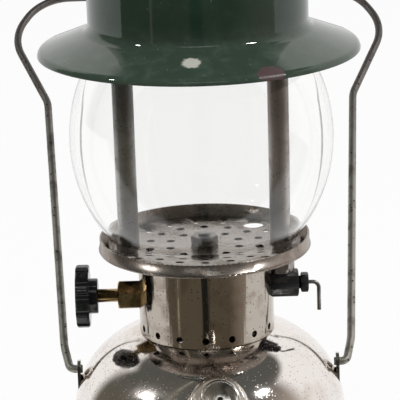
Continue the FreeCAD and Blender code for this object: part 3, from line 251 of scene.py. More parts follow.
class Board:
    """A node tree with short calls to add and join its nodes."""

    def __init__(self, tree: bpy.types.NodeTree) -> None:
        """Keeps the tree and empties it."""
        self.tree = tree
        tree.nodes.clear()

    def add(self, kind: str, inputs: dict | None = None, **settings: object) -> bpy.types.Node:
        """Adds a node.

        Args:
            kind: The node's type name.
            inputs: Socket name or number to a value, or to a socket that feeds it.
            settings: Properties of the node itself.

        Returns:
            The new node.
        """
        node = self.tree.nodes.new(kind)
        for name, value in settings.items():
            setattr(node, name, value)
        for key, value in (inputs or {}).items():
            if isinstance(value, bpy.types.NodeSocket):
                self.tree.links.new(value, node.inputs[key])
            else:
                node.inputs[key].default_value = value
        return node

    def effect(self, group: bpy.types.NodeTree, place: object,
               **inputs: object) -> bpy.types.NodeSocket:
        """Adds a shared effect over some coordinates and gives its output."""
        return self.add("ShaderNodeGroup", {"Vector": place, **inputs}, node_tree=group).outputs[0]

    def math(self, how: str, first: object, second: object = 0.0) -> bpy.types.NodeSocket:
        """Adds a Math node and gives its result."""
        return self.add("ShaderNodeMath", {0: first, 1: second}, operation=how).outputs[0]

    def times(self, first: object, second: object) -> bpy.types.NodeSocket:
        """Multiplies two values."""
        return self.math("MULTIPLY", first, second)

    def ramp(self, value: object, low: object, high: object, start: float = 0.0,
             end: float = 1.0) -> bpy.types.NodeSocket:
        """Eases a value from one level to another.

        Args:
            value: The value that is read.
            low: Where the change starts.
            high: Where it ends.
            start: Result at low.
            end: Result at high.

        Returns:
            The socket with the result.
        """
        node = self.add("ShaderNodeMapRange", {
            "Value": value, "From Min": low, "From Max": high, "To Min": start, "To Max": end,
        }, interpolation_type="SMOOTHSTEP")
        return node.outputs["Result"]

    def mix(self, share: object, first: object, second: object) -> bpy.types.NodeSocket:
        """Mixes two colours.

        Args:
            share: Share of the second colour.
            first: A colour or a socket.
            second: A colour or a socket.

        Returns:
            The socket with the mixed colour.
        """
        first, second = (colour if isinstance(colour, bpy.types.NodeSocket) else (*colour, 1.0)
                         for colour in (first, second))
        # A Mix node's two colours are its inputs 6 and 7, and the mixed one is its output 2.
        return self.add("ShaderNodeMix", {0: share, 6: first, 7: second},
                        data_type="RGBA").outputs[2]

    def place(self) -> bpy.types.NodeSocket:
        """Gives the object coordinates."""
        return self.add("ShaderNodeTexCoord").outputs["Object"]

    def level(self, place: object) -> bpy.types.NodeSocket:
        """Height in some coordinates."""
        return self.add("ShaderNodeSeparateXYZ", {0: place}).outputs["Z"]


# Middle of a noise, share of a speck's size that is full, and reach of a spot's soft edge.
NOISE_MIDDLE = 0.5
SPECK_CORE = 0.4
SPOT_EDGE = (1.1, 0.75)


def effect_group(name: str, inputs: dict[str, float], outputs: list[str]) -> tuple:
    """Starts a shader node group with named float inputs, a Vector and float outputs.

    Args:
        name: The group's name.
        inputs: Name to default of each float input.
        outputs: Names of the float outputs.

    Returns:
        The group, its board, its input node and its output node.
    """
    group = bpy.data.node_groups.new(name, "ShaderNodeTree")
    group.interface.new_socket("Vector", in_out="INPUT", socket_type="NodeSocketVector")
    for label, value in inputs.items():
        socket = group.interface.new_socket(label, in_out="INPUT", socket_type="NodeSocketFloat")
        socket.default_value = value
    for label in outputs:
        group.interface.new_socket(label, in_out="OUTPUT", socket_type="NodeSocketFloat")
    board = Board(group)
    return group, board, board.add("NodeGroupInput"), board.add("NodeGroupOutput")


def make_patches() -> bpy.types.NodeTree:
    """Soft uneven patches, as tarnish, smoke and handling leave them.

    Returns:
        The group.
    """
    group, board, source, sink = effect_group(
        "worn_patches", {"Scale": 40.0, "Low": 0.45, "High": 0.65}, ["Mask"])
    noise = board.add("ShaderNodeTexNoise", {
        "Vector": source.outputs["Vector"], "Scale": source.outputs["Scale"],
        "Detail": 5.0, "Roughness": 0.6, "Distortion": 0.4})
    mask = board.ramp(noise.outputs["Fac"], source.outputs["Low"], source.outputs["High"])
    group.links.new(mask, sink.inputs["Mask"])
    return group


def make_specks() -> bpy.types.NodeTree:
    """Small scattered specks: pits, spatter and dust, more in some places than in others.

    Returns:
        The group.
    """
    group, board, source, sink = effect_group(
        "scattered_specks", {"Scale": 900.0, "Size": 0.25, "Crowding": 0.5}, ["Mask"])
    cells = board.add("ShaderNodeTexVoronoi", {
        "Vector": source.outputs["Vector"], "Scale": source.outputs["Scale"]})
    crowd = board.add("ShaderNodeTexNoise", {
        "Vector": source.outputs["Vector"], "Scale": 90.0, "Detail": 3.0})
    chosen = board.math("LESS_THAN", board.add(
        "ShaderNodeSeparateColor", {0: cells.outputs["Color"]}).outputs[0],
        board.times(crowd.outputs["Fac"], source.outputs["Crowding"]))
    near = board.ramp(cells.outputs["Distance"], source.outputs["Size"],
                      board.times(source.outputs["Size"], SPECK_CORE))
    group.links.new(board.times(near, chosen), sink.inputs["Mask"])
    return group


def make_grain() -> bpy.types.NodeTree:
    """Fine even grain.

    Returns:
        The group.
    """
    group, board, source, sink = effect_group(
        "fine_grain", {"Scale": 1500.0, "Contrast": 1.0}, ["Value"])
    noise = board.add("ShaderNodeTexNoise", {
        "Vector": source.outputs["Vector"], "Scale": source.outputs["Scale"],
        "Detail": 3.0, "Roughness": 0.55})
    spread = board.times(board.math("SUBTRACT", noise.outputs["Fac"], NOISE_MIDDLE),
                         source.outputs["Contrast"])
    group.links.new(board.math("ADD", spread, NOISE_MIDDLE), sink.inputs["Value"])
    return group


def make_blemish() -> bpy.types.NodeTree:
    """One ragged spot round a point: the distance from it, broken by noise.

    Returns:
        The group.
    """
    group, board, source, sink = effect_group(
        "ragged_spot", {"Across": 0.006, "Tall": 0.004, "Ragged": 0.5}, ["Mask"])
    parts = board.add("ShaderNodeSeparateXYZ", {0: source.outputs["Vector"]})
    along = board.math("DIVIDE", parts.outputs["X"], source.outputs["Across"])
    deep = board.math("DIVIDE", parts.outputs["Y"], source.outputs["Across"])
    high = board.math("DIVIDE", parts.outputs["Z"], source.outputs["Tall"])
    joined = board.add("ShaderNodeCombineXYZ", {0: along, 1: deep, 2: high})
    far = board.add("ShaderNodeVectorMath", {0: joined.outputs[0]}, operation="LENGTH")
    noise = board.add("ShaderNodeTexNoise", {
        "Vector": source.outputs["Vector"], "Scale": 300.0, "Detail": 4.0})
    rough = board.times(board.math("SUBTRACT", noise.outputs["Fac"], NOISE_MIDDLE),
                        source.outputs["Ragged"])
    edge = board.math("ADD", far.outputs["Value"], rough)
    group.links.new(board.ramp(edge, *SPOT_EDGE), sink.inputs["Mask"])
    return group


class Effects:
    """The shared node groups, each built once."""

    def __init__(self) -> None:
        """Builds the groups."""
        self.patches = make_patches()
        self.specks = make_specks()
        self.grain = make_grain()
        self.blemish = make_blemish()


EFFECTS = Effects()


# ---- finishes --------------------------------------------------------------------------------

def start_material(name: str) -> tuple[bpy.types.Material, Board]:
    """Starts a material.

    Args:
        name: The material's name.

    Returns:
        The material, and the board of its emptied node tree.
    """
    material = bpy.data.materials.new(name)
    material.use_nodes = True
    return material, Board(material.node_tree)


def end_material(board: Board, inputs: dict, height: object, depth: float) -> None:
    """Adds the surface shader, its bump and the output.

    Args:
        board: The material's board.
        inputs: Inputs of the Principled BSDF.
        height: Height that feeds the bump.
        depth: Depth of the bump in metres.
    """
    bump = board.add("ShaderNodeBump", {"Height": height, "Distance": depth, "Strength": 1.0})
    surface = board.add("ShaderNodeBsdfPrincipled", {**inputs, "Normal": bump.outputs[0]})
    board.add("ShaderNodeOutputMaterial", {"Surface": surface.outputs[0]})


@dataclass(frozen=True)
class Finish:
    """A procedural material. Each kind of finish paints its own surface."""

    name: str

    def material(self) -> bpy.types.Material:
        """Builds the material.

        Returns:
            The new material.
        """
        material, board = start_material(self.name)
        self.paint(board, board.place())
        return material

    def paint(self, board: Board, place: bpy.types.NodeSocket) -> None:
        """Builds the surface.

        Args:
            board: The material's board.
            place: Object coordinates.
        """
        raise NotImplementedError


@dataclass(frozen=True)
class Stain:
    """A colour that comes in with height: heat and smoke on the burner's tubes, and a darker top
    on the bail.
    """

    colour: Colour
    low: float
    high: float


@dataclass(frozen=True)
class MetalFinish(Finish):
    """Bare or plated metal with tarnish patches, pits and an uneven polish.

    The two wears share out between patches and grain how far the polish goes from its
    first roughness to its second, over wear_span.
    """

    base: Colour
    tarnish: Colour
    polish: tuple[float, float]
    patch_scale: float = 45.0
    patch_edge: tuple[float, float] = (0.45, 0.68)
    pit_scale: float = 700.0
    pit_size: float = 0.28
    pit_crowding: float = 0.5
    pit_colour: Colour = (0.05, 0.04, 0.035)
    pit_roughness: float = 0.35
    patch_wear: float = 0.6
    grain_wear: float = 0.5
    wear_span: tuple[float, float] = (0.1, 1.0)
    grain_relief: float = 0.3
    depth: float = 2e-5
    stains: tuple[Stain, ...] = ()
    stain_wander: float = 0.012

    def paint(self, board: Board, place: bpy.types.NodeSocket) -> None:
        """Builds the metal.

        Args:
            board: The material's board.
            place: Object coordinates.
        """
        low, high = self.patch_edge
        patches = board.effect(EFFECTS.patches, place, Scale=self.patch_scale, Low=low, High=high)
        pits = board.effect(EFFECTS.specks, place, Scale=self.pit_scale, Size=self.pit_size,
                            Crowding=self.pit_crowding)
        grain = board.effect(EFFECTS.grain, place, Scale=1400.0, Contrast=1.0)
        colour = board.mix(patches, self.base, self.tarnish)
        height = board.level(place)
        for stain in self.stains:
            wander = board.times(board.math("SUBTRACT", patches, NOISE_MIDDLE), self.stain_wander)
            share = board.ramp(board.math("ADD", height, wander), stain.low, stain.high)
            colour = board.mix(share, colour, stain.colour)
        colour = board.mix(pits, colour, self.pit_colour)
        worn = board.math("ADD", board.times(patches, self.patch_wear),
                          board.times(grain, self.grain_wear))
        gloss = board.math("ADD", board.ramp(worn, *self.wear_span, *self.polish),
                           board.times(pits, self.pit_roughness))
        relief = board.math("SUBTRACT", board.times(grain, self.grain_relief), pits)
        end_material(board, {"Base Color": colour, "Metallic": 1.0, "Roughness": gloss},
                     relief, self.depth)


@dataclass(frozen=True)
class PlainFinish(Finish):
    """Moulded, painted or soft surface that isn't metal."""

    base: Colour
    worn: Colour
    polish: tuple[float, float]
    grain_scale: float = 900.0
    speck_crowding: float = 0.25
    speck_colour: Colour = (0.3, 0.3, 0.29)
    speck_cover: float = 0.4
    patch_wear: float = 0.4
    wear_span: tuple[float, float] = (0.3, 1.0)
    sheen: float = 0.5
    depth: float = 4e-5

    def paint(self, board: Board, place: bpy.types.NodeSocket) -> None:
        """Builds the plain surface.

        Args:
            board: The material's board.
            place: Object coordinates.
        """
        patches = board.effect(EFFECTS.patches, place, Scale=160.0, Low=0.5, High=0.75)
        dust_and_sheen = board.effect(EFFECTS.specks, place, Scale=1300.0, Size=0.25,
                            Crowding=self.speck_crowding)
        grain = board.effect(EFFECTS.grain, place, Scale=self.grain_scale, Contrast=1.2)
        colour = board.mix(patches, self.base, self.worn)
        colour = board.mix(board.times(dust_and_sheen, self.speck_cover), colour, self.speck_colour)
        worn = board.math("ADD", grain, board.times(patches, self.patch_wear))
        gloss = board.ramp(worn, *self.wear_span, *self.polish)
        end_material(board, {"Base Color": colour, "Metallic": 0.0, "Roughness": gloss,
                             "Specular IOR Level": self.sheen}, grain, self.depth)


@dataclass(frozen=True)
class Blemish:
    """One spot on the enamel: where it is, its half sizes in metres and its colour."""

    centre: tuple[float, float, float]
    across: float
    tall: float
    colour: Colour
    ragged: float = 0.6


@dataclass(frozen=True)
class EnamelFinish(Finish):
    """Glassy fired enamel with pinholes, faint mottling, a painted sheen that lightens the brim,
    and a few spots.
    """

    base: Colour
    mottle: Colour
    # The pale colour laid on the brim is a painted sheen: it comes in from the first height of the
    # level pair down to the second, over a share that the cover pair sets.
    dust_and_sheen: Colour
    brim_sheen_level: tuple[float, float]
    brim_sheen_cover: tuple[float, float] = (0.18, 0.32)
    pinhole: Colour = (0.16, 0.2, 0.17)
    pinhole_cover: float = 0.7
    polish: tuple[float, float] = (0.03, 0.08)
    spot_roughness: float = 0.35
    depth: float = 3e-5
    blemishes: tuple[Blemish, ...] = ()

    def paint(self, board: Board, place: bpy.types.NodeSocket) -> None:
        """Builds the enamel.

        Args:
            board: The material's board.
            place: Object coordinates.
        """
        mottle = board.effect(EFFECTS.patches, place, Scale=120.0, Low=0.4, High=0.8)
        pinholes = board.effect(EFFECTS.specks, place, Scale=500.0, Size=0.2, Crowding=0.12)
        ripple = board.effect(EFFECTS.grain, place, Scale=110.0, Contrast=1.0)
        colour = board.mix(mottle, self.base, self.mottle)
        height = board.level(place)
        # Painted sheen: the brim is lightened towards the pale colour as if lit from above, while
        # the hood's wall keeps its dark green.
        brim_sheen = board.times(board.ramp(height, *self.brim_sheen_level),
                           board.ramp(mottle, 0.0, 1.0, *self.brim_sheen_cover))
        colour = board.mix(brim_sheen, colour, self.dust_and_sheen)
        colour = board.mix(board.times(pinholes, self.pinhole_cover), colour, self.pinhole)
        spots = 0.0
        for blemish in self.blemishes:
            shift = board.add("ShaderNodeVectorMath", {0: place, 1: blemish.centre},
                              operation="SUBTRACT").outputs[0]
            mask = board.effect(EFFECTS.blemish, shift, Across=blemish.across,
                                Tall=blemish.tall, Ragged=blemish.ragged)
            colour = board.mix(mask, colour, blemish.colour)
            spots = board.math("MAXIMUM", mask, spots)
        gloss = board.math("ADD", board.ramp(mottle, 0.0, 1.0, *self.polish),
                           board.times(spots, self.spot_roughness))
        relief = board.math("SUBTRACT", ripple, board.math("ADD", spots, pinholes))
        end_material(board, {"Base Color": colour, "Metallic": 0.0, "Roughness": gloss,
                             "IOR": 1.52}, relief, self.depth)


@dataclass(frozen=True)
class GlassFinish(Finish):
    """Clear blown glass with slight waves, handling smudges and dust."""

    base: Colour = (0.999, 0.999, 0.995)
    dust_and_sheen: Colour = (0.8, 0.81, 0.8)
    smudge_roughness: float = 0.02
    dust_roughness: float = 0.25
    depth: float = 1e-5

    def paint(self, board: Board, place: bpy.types.NodeSocket) -> None:
        """Builds the glass.

        Args:
            board: The material's board.
            place: Object coordinates.
        """
        smudge = board.effect(EFFECTS.patches, place, Scale=30.0, Low=0.55, High=0.8)
        dust_and_sheen = board.effect(EFFECTS.specks, place, Scale=420.0, Size=0.12, Crowding=0.1)
        waves = board.effect(EFFECTS.grain, place, Scale=35.0, Contrast=1.0)
        gloss = board.math("ADD", board.times(smudge, self.smudge_roughness),
                           board.times(dust_and_sheen, self.dust_roughness))
        colour = board.mix(dust_and_sheen, self.base, self.dust_and_sheen)
        end_material(board, {"Base Color": colour, "Metallic": 0.0, "Roughness": gloss,
                             "IOR": 1.42, "Transmission Weight": 1.0}, waves, self.depth)


FINISHES = {
    "nickel": MetalFinish("worn_nickel", base=(0.83, 0.785, 0.755), tarnish=(0.71, 0.645, 0.595),
                          polish=(0.06, 0.18), pit_scale=800.0, pit_size=0.34,
                          pit_crowding=0.85, pit_colour=(0.34, 0.30, 0.26), depth=1e-5),
    "pump_nickel": MetalFinish("dull_nickel", base=(0.60, 0.57, 0.53), tarnish=(0.40, 0.35, 0.29),
                               polish=(0.16, 0.32), pit_crowding=0.7),
    "enamel_green": EnamelFinish(
        "green_enamel", base=(0.014, 0.031, 0.019), mottle=(0.02, 0.042, 0.027),
        # The pale colour on the brim below 0.242 m is a painted sheen.
        dust_and_sheen=(0.115, 0.145, 0.115), brim_sheen_level=(0.252, 0.242),
        blemishes=(
            Blemish((0.0315, -0.067, 0.2345), 0.0072, 0.0048, (0.075, 0.045, 0.045)),
            # The next two are pale spots on the brim's front.
            Blemish((-0.0035, -0.0615, 0.239), 0.0048, 0.0026, (0.45, 0.45, 0.40), 0.9),
            Blemish((-0.0225, -0.0515, 0.2435), 0.0014, 0.0010, (0.55, 0.52, 0.42), 0.9),
            Blemish((0.058, 0.044, 0.236), 0.004, 0.003, (0.06, 0.04, 0.04)),
        )),
    "globe_glass": GlassFinish("globe_glass"),
    "brass": MetalFinish("tarnished_brass", base=(0.46, 0.33, 0.15), tarnish=(0.22, 0.15, 0.08),
                         polish=(0.14, 0.34), patch_scale=150.0, pit_crowding=0.4),
    "moulded_black": PlainFinish("moulded_black", base=(0.013, 0.013, 0.014),
                                 worn=(0.032, 0.032, 0.033), polish=(0.08, 0.2),
                                 speck_crowding=0.12, depth=2e-5),
    "black_steel": PlainFinish("blackened_steel", base=(0.016, 0.016, 0.017),
                               worn=(0.045, 0.04, 0.036), polish=(0.28, 0.5), sheen=0.2),
    "tarnished_nickel": MetalFinish("tarnished_nickel", base=(0.46, 0.415, 0.36),
                                    tarnish=(0.32, 0.26, 0.215), polish=(0.07, 0.2),
                                    patch_scale=70.0, pit_crowding=0.6),
    "smoked_nickel": MetalFinish("smoked_nickel", base=(0.34, 0.305, 0.275),
                                 tarnish=(0.23, 0.185, 0.155), polish=(0.2, 0.36),
                                 patch_scale=60.0, pit_crowding=0.6),
    "bail_steel": MetalFinish("speckled_wire", base=(0.40, 0.39, 0.35),
                              tarnish=(0.24, 0.225, 0.20), polish=(0.5, 0.68),
                              patch_scale=120.0, pit_scale=420.0, pit_size=0.32,
                              pit_crowding=0.8, pit_colour=(0.07, 0.055, 0.045),
                              # The wire darkens towards its top.
                              stains=(Stain((0.17, 0.155, 0.15), 0.115, 0.20),)),
    "wire_steel": MetalFinish("plain_wire", base=(0.38, 0.37, 0.37), tarnish=(0.2, 0.19, 0.18),
                              polish=(0.25, 0.4)),
    "air_tube_steel": MetalFinish("smoked_steel", base=(0.38, 0.378, 0.37),
                                  tarnish=(0.26, 0.256, 0.25), polish=(0.35, 0.5),
                                  stains=(Stain((0.135, 0.135, 0.132), 0.168, 0.205),)),
    "generator_brass": MetalFinish("heated_brass", base=(0.45, 0.425, 0.415),
                                   tarnish=(0.29, 0.26, 0.245), polish=(0.35, 0.5),
                                   stains=(Stain((0.2, 0.17, 0.155), 0.165, 0.20),)),
    "dark_steel": MetalFinish("heat_dark_steel", base=(0.2, 0.19, 0.18), tarnish=(0.1, 0.09, 0.08),
                              polish=(0.3, 0.5)),
    "burner_iron": MetalFinish("burner_iron", base=(0.16, 0.15, 0.15), tarnish=(0.09, 0.08, 0.075),
                               polish=(0.45, 0.65), depth=6e-5),
    "leather": PlainFinish("oiled_leather", base=(0.11, 0.055, 0.025), worn=(0.17, 0.09, 0.045),
                           polish=(0.4, 0.65), grain_scale=600.0, depth=1.2e-4),
    "rubber": PlainFinish("black_rubber", base=(0.02, 0.02, 0.02), worn=(0.04, 0.04, 0.04),
                          polish=(0.5, 0.75)),
}
# Nodes whose finish isn't named after their slot: three that heat and smoke have dulled, and the
# moulded knob.
OWN_LOOKS = {"collar": "tarnished_nickel", "globe_rest": "smoked_nickel",
             "generator_nut": "generator_brass", "valve_knob": "moulded_black"}


class Dresser:
    """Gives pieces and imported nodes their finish, mostly that of their material slot."""

    def __init__(self) -> None:
        """Reads which slot and which body each node has."""
        record = frame["record"]
        self.slots = {part["node"]: part["material_slot"] for part in record["subparts"]}
        bodies = record["behaviour"]["bodies"]
        self.bodies = {node: body for body, nodes in bodies.items() for node in nodes}
        self.made: dict[str, bpy.types.Material] = {}

    def finish(self, piece: bpy.types.Object, look: str) -> None:
        """Puts a finish on a piece, in place of any it has.

        Args:
            piece: The piece.
            look: Name of the finish.
        """
        if look not in self.made:
            self.made[look] = FINISHES[look].material()
        piece.data.materials.clear()
        piece.data.materials.append(self.made[look])

    def keep(self, node: str) -> None:
        """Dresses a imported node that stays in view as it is."""
        self.finish(frame["nodes"][node], self.slots[node])
        LOG.info("kept %s in %s", node, self.slots[node])

    def seat(self, piece: bpy.types.Object, node: str) -> None:
        """Dresses a new piece, lets it ride on a node's body and stand for the node.

        Args:
            piece: The new piece.
            node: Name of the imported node.
        """
        self.finish(piece, OWN_LOOKS.get(node, self.slots[node]))
        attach(piece, self.bodies[node])
        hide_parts(node)
        LOG.info("made %s for %s, %d faces", piece.name, node, len(piece.data.polygons))

    def smooth(self, node: str) -> None:
        """Stands a merged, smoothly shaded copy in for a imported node.

        Args:
            node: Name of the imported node.
        """
        mesh = frame["nodes"][node].data.copy()
        mesh.name = f"{node}_skin"
        finish_mesh(mesh, Crease.PLAIN, turn_out=False)
        piece = bpy.data.objects.new(f"{node}_skin", mesh)
        bpy.context.scene.collection.objects.link(piece)
        self.seat(piece, node)


# ---- sub-assemblies, with sizes in millimetres and angles in degrees ---------------------------

@dataclass
class SubAssembly:
    """Pieces that belong together, some made here and some packed.

    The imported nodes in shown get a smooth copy, and those in hidden stay as they are.
    """

    shown: tuple[str, ...] = ()
    hidden: tuple[str, ...] = ()

    def pieces(self) -> Iterator[tuple[bpy.types.Object, str]]:
        """Makes the new pieces, each with the node that it stands for."""
        yield from ()

    def build(self, dresser: Dresser) -> None:
        """Makes and dresses everything.

        Args:
            dresser: What gives each piece its finish and its body.
        """
        for piece, node in self.pieces():
            dresser.seat(piece, node)
        for node in self.shown:
            dresser.smooth(node)
        for node in self.hidden:
            dresser.keep(node)


@dataclass
class Fount(SubAssembly):
    """Drawn tank with its bottom, bung, filler and the bail's ears."""

    shown: tuple[str, ...] = ("fount_bottom", "valve_bung", "filler_neck", "filler_gasket",
                              "filler_cap", "filler_cap_screw", "bail_ear_left",
                              "bail_ear_right")
    radius: float = 65.0
    wall: float = 0.9
    curl: float = 5.0
    foot: float = 2.5
    shoulder: float = 54.0
    bend: float = 42.0
    crown: float = 100.0
    bung: float = 9.0
    segments: int = 256

    def crown_bend(self) -> float:
        """Radius of the crown's arc, tangent to the shoulder's."""
        across, rise = self.radius - self.bend, self.crown - self.shoulder
        return (across ** 2 + rise ** 2 - self.bend ** 2) / (2.0 * (rise - self.bend))

    def crown_level(self, radius: float, inset: float = 0.0) -> float:
        """Height of the crown's outer or inset face at a radius."""
        bend = self.crown_bend()
        return self.crown - bend + math.sqrt((bend - inset) ** 2 - radius ** 2)

    def join(self, inset: float = 0.0) -> tuple[float, float]:
        """Point where the shoulder's arc meets the crown's.

        Args:
            inset: How far in from the outer faces, in millimetres.

        Returns:
            The point's radius and height.
        """
        bend = self.crown_bend()
        share = (bend - inset) / (bend - self.bend)
        low = self.crown - bend
        return (self.radius - self.bend) * share, low + (self.shoulder - low) * share

    def shell(self) -> bpy.types.Object:
        """Makes the tank's skin: a double-walled profile turned about Z.

        Returns:
            The skin.
        """
        wall, radius, curl = self.wall, self.radius, self.curl
        inner = radius - curl - self.foot
        profile = closed_profile([
            (inner, 0.0),
            (radius - curl, 0.0),
            (radius, curl, curl),
            (radius, self.shoulder),
            (*self.join(), self.bend),
            (self.bung, self.crown_level(self.bung), self.crown_bend()),
            (self.bung, self.crown_level(self.bung, wall)),
            (*self.join(wall), -(self.crown_bend() - wall)),
            (radius - wall, self.shoulder, -(self.bend - wall)),
            (radius - wall, curl),
            (radius - curl, wall, -(curl - wall)),
            (inner, wall),
        ], step=2.5)
        verts = turned_grid(profile, turn_angles(self.segments))
        return grid_piece("fount_skin", verts, Crease.PLAIN)

    def pieces(self) -> Iterator[tuple[bpy.types.Object, str]]:
        """Makes the skin."""
        yield self.shell(), "fount_body"


@dataclass
class Pump(SubAssembly):
    """Air pump on the front of the shoulder."""

    shown: tuple[str, ...] = ("pump_seat", "pump_cap", "pump_knob", "pump_rod", "pump_tube")
    hidden: tuple[str, ...] = ("pump_cup", "pump_spring", "pump_check_valve", "air_stem")


@dataclass
class Valve(SubAssembly):
    """Valve, its knob and the fuel way up to the generator."""

    shown: tuple[str, ...] = ("valve_stem", "knob_screw", "valve_body", "generator_block",
                              "generator_nut", "cleaner_gland_nut", "cleaner_lever")
    hidden: tuple[str, ...] = ("valve_needle", "cleaner_needle", "fuel_pickup_tube", "gas_tip")
    level: float = 112.7
    nut_near: float = 30.3
    nut_far: float = 41.9
    nut_sides: int = 6
    nut_flats: float = 12.7
    nut_face: float = 5.9
    nut_bore: float = 3.4
    nut_bevel: float = 0.8
    nut_turn: float = -8.0
    nut_steps: int = 96
    bevel_steps: int = 6
    knob_near: float = 51.3
    knob_far: float = 61.7
    knob_radius: float = 15.0
    knob_rim: float = 6.4
    knob_edge: float = 1.2
    knob_hub: float = 8.4
    knob_hub_edge: float = 0.8
    knob_dish: float = 9.5
    knob_dish_depth: float = 2.0
    scallops: int = 12
    scallop_place: float = 15.6
    scallop_radius: float = 2.2
    scallop_turn: float = 15.0
    scallop_soft: float = 0.14
    scallop_steps: int = 24

    def on_axis(self, name: str, profile: np.ndarray, angles: np.ndarray,
                reach: np.ndarray, crease: Crease) -> bpy.types.Object:
        """Turns a profile about the valve's axis, which runs to the left at its level.

        Args:
            name: Name of the piece.
            profile: Points of (radius, distance from the column) in millimetres.
            angles: Angles from straight up, in radians.
            reach: Largest radius at each angle, in millimetres.
            crease: Angle past which edges are sharp.

        Returns:
            The new piece.
        """
        grid = turned_grid(profile, angles, reach)
        verts = np.stack([-grid[..., 2], grid[..., 1], grid[..., 0] + self.level * MM], axis=-1)
        return grid_piece(name, verts, crease)

    def packing_nut(self) -> bpy.types.Object:
        """Makes the nut: a bevelled bar cut down to flats, radius = half flats / cos(angle).

        Returns:
            The nut.
        """
        side = FULL_TURN / self.nut_sides
        corner = self.nut_flats / 2.0 / math.cos(side / 2.0)
        share = np.linspace(0.0, 1.0, self.bevel_steps)
        radius = self.nut_face + (corner - self.nut_face) * share
        bevel = self.nut_bevel * share
        near = np.stack([radius, self.nut_near + bevel], axis=1)
        far = np.stack([radius, self.nut_far - bevel], axis=1)[::-1]
        profile = np.concatenate([[(self.nut_bore, self.nut_near)], near, far,
                                  [(self.nut_bore, self.nut_far)]])
        around = turn_angles(self.nut_steps)
        reach = self.nut_flats / 2.0 / np.cos(np.mod(around, side) - side / 2.0)
        angles = around + math.radians(self.nut_turn)
        return self.on_axis("packing_nut_skin", profile, angles, reach, Crease.FINE)

    def knob(self) -> bpy.types.Object:
        """Makes the dished knob, with a ring of round grooves softly joined to its rim.

        A groove's reach at an angle off its middle is p cos a - sqrt(g^2 - p^2 sin^2 a), with
        p its place and g its radius. The rim's and the groove's reach meet in a soft minimum.

        Returns:
            The knob.
        """
        rim_near = self.knob_far - self.knob_rim
        radius, edge = self.knob_radius, self.knob_edge
        floor = self.knob_far - self.knob_dish_depth
        profile = closed_profile([
            (0.0, self.knob_near),
            (self.knob_hub - self.knob_hub_edge, self.knob_near),
            (self.knob_hub, self.knob_near + self.knob_hub_edge, self.knob_hub_edge),
            (self.knob_hub, rim_near),
            (radius - edge, rim_near),
            (radius, rim_near + edge, edge),
            (radius, self.knob_far - edge),
            (radius - edge, self.knob_far, edge),
            (self.knob_dish + self.knob_dish_depth, self.knob_far),
            (self.knob_dish, floor),
            (0.0, floor),
        ], step=12.0)
        angles = turn_angles(self.scallops * self.scallop_steps)
        pitch = FULL_TURN / self.scallops
        off = np.mod(angles - math.radians(self.scallop_turn) + pitch / 2.0, pitch) - pitch / 2.0
        inside = self.scallop_radius ** 2 - (self.scallop_place * np.sin(off)) ** 2
        groove = self.scallop_place * np.cos(off) - np.sqrt(np.maximum(inside, 0.0))
        soft = self.scallop_soft
        reach = -soft * np.logaddexp(-radius / soft, -groove / soft)
        return self.on_axis("valve_knob_skin", profile, angles, reach, Crease.PLAIN)

    def pieces(self) -> Iterator[tuple[bpy.types.Object, str]]:
        """Makes the nut and the knob."""
        yield self.packing_nut(), "valve_packing_nut"
        yield self.knob(), "valve_knob"


@dataclass
class Chimney(SubAssembly):
    """Collar, globe rest, uprights and burner between the fount and the ventilator."""

    shown: tuple[str, ...] = ("collar", "globe_rest", "plate_nut", "centre_stud", "air_tube",
                              "generator", "burner_manifold", "burner_cap", "heat_baffle",
                              "vent_stud", "stud_sleeve", "vent_washer", "vent_nut",
                              "vent_seat_ring")


@dataclass
class Globe(SubAssembly):
    """Clear glass globe."""

    foot: float = 137.0
    radius: float = 61.5
    foot_radius: float = 45.5
    wall: float = 2.2
    barrel: float = 75.0
    neck: float = 8.0
    rim: float = 4.0
    segments: int = 256
    rim_step: float = 20.0

    def skin(self) -> bpy.types.Object:
        """Makes the glass: a closed profile of barrel and necks, turned about Z.

        Returns:
            The glass.
        """
        bulge, reach = self.radius - self.foot_radius, self.barrel + self.neck
        rise = math.sqrt(2.0 * bulge * reach - bulge ** 2)
        low = self.foot + self.rim
        middle, high = low + rise, low + 2.0 * rise

        def meeting(inset: float, side: int) -> tuple[float, float]:
            """Where the neck's curve passes into the barrel's."""
            share = (self.neck + inset) / reach
            return (self.foot_radius + self.neck - (reach - bulge) * share,
                    middle - side * rise * (1.0 - share))

        outer, inner = self.foot_radius, self.foot_radius - self.wall
        soft = self.wall / 2.0
        profile = closed_profile([
            (outer, self.foot + soft),
            (outer, low),
            (*meeting(0.0, 1), -self.neck),
            (*meeting(0.0, -1), self.barrel),
            (outer, high, -self.neck),
            (outer, high + self.rim - soft),
            (inner, high + self.rim - soft, soft),
            (inner, high),
            (*meeting(self.wall, -1), self.neck + self.wall),
            (*meeting(self.wall, 1), -(self.barrel - self.wall)),
            (inner, low, self.neck + self.wall),
            (inner, self.foot + soft),
        ], step=2.0)
        rim = arc_points(profile[-1], profile[0], soft, self.rim_step)[:-1]
        verts = turned_grid(np.concatenate([profile, rim]), turn_angles(self.segments))
        return grid_piece("globe_skin", verts, Crease.SOFT)

    def pieces(self) -> Iterator[tuple[bpy.types.Object, str]]:
        """Makes the glass."""
        yield self.skin(), "globe"


